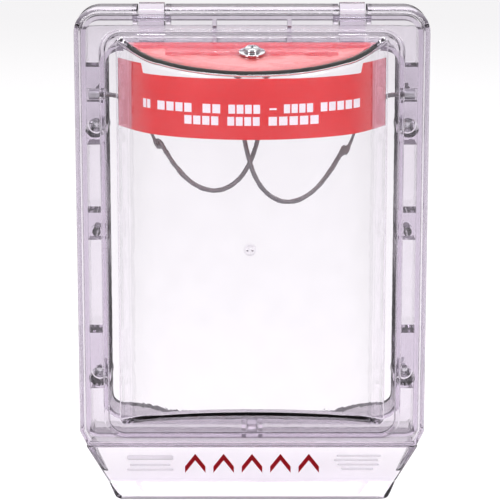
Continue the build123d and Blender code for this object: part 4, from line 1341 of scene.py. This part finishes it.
class COVER_OT_fixing(bpy.types.Operator):
    """The bolt through the window's top with its washers and nut"""
    bl_idname = "cover.fixing"
    bl_label = "Tether fixing"

    def execute(self, context):
        sizes = context.scene.cover_sizes
        edge = sizes.washer_edge / MM
        under = -FILM_INNER
        rubber_low = under - RUBBER_THICKNESS
        nut_top = rubber_low - 2 * TERMINAL_THICKNESS
        nets = {
            "bolt": threaded_screw(BOLT_HEAD_RADIUS, BOLT_HEAD_HEIGHT, WASHER_THICKNESS, BOLT_NECK_END,
                                   BOLT_END + BOLT_TIP, BOLT_TIP, sizes.bolt_pitch / MM, SCREW_RADIUS),
            "washer": washer(WASHER_BORE, WASHER_RADIUS, 0.0, WASHER_THICKNESS, edge),
            "rubber_washer": washer(WASHER_BORE, WASHER_RADIUS, rubber_low, under, edge * 1.5),
            "nut": hexagon_nut(NUT_HALF, SCREW_RADIUS, nut_top - NUT_HEIGHT, nut_top),
        }
        smooth_angles = {"bolt": 40, "nut": 25}
        for name, (points, faces) in nets.items():
            slot = "black_rubber" if name == "rubber_washer" else "screw_steel"
            built(f"fixing_{name}", (at_bolt(points), faces), "cover", slot, slot, f"tether_{name}",
                  smooth_angle=smooth_angles.get(name, 35))
        return {"FINISHED"}


class COVER_PT_panel(bpy.types.Panel):
    """Lists the sizes, the finishes and every piece"""
    bl_idname = "COVER_PT_panel"
    bl_label = "Call point cover"
    bl_space_type = "VIEW_3D"
    bl_region_type = "UI"
    bl_category = "Call point cover"

    def draw(self, context):
        for group in (context.scene.cover_sizes, context.scene.cover_finish):
            box = self.layout.box()
            for field in group.bl_rna.properties:
                if field.identifier not in ("rna_type", "name"):
                    box.prop(group, field.identifier)
        for step in STEPS:
            self.layout.operator(step.bl_idname)


STEPS = (
    COVER_OT_stage, COVER_OT_cables, COVER_OT_window, COVER_OT_grip, COVER_OT_hinge, COVER_OT_wall_frame,
    COVER_OT_films, COVER_OT_screws, COVER_OT_fixing,
)
CLASSES = (CoverSizes, CoverFinish, *STEPS, COVER_PT_panel)


def register():
    for cls in CLASSES:
        bpy.utils.register_class(cls)
    bpy.types.Scene.cover_sizes = PointerProperty(type=CoverSizes)
    bpy.types.Scene.cover_finish = PointerProperty(type=CoverFinish)


def unregister():
    del bpy.types.Scene.cover_finish
    del bpy.types.Scene.cover_sizes
    for cls in reversed(CLASSES):
        bpy.utils.unregister_class(cls)


def main():
    """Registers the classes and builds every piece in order."""
    register()
    for step in STEPS:
        group, name = step.bl_idname.split(".")
        getattr(getattr(bpy.ops, group), name)()


if __name__ == "__main__":
    main()
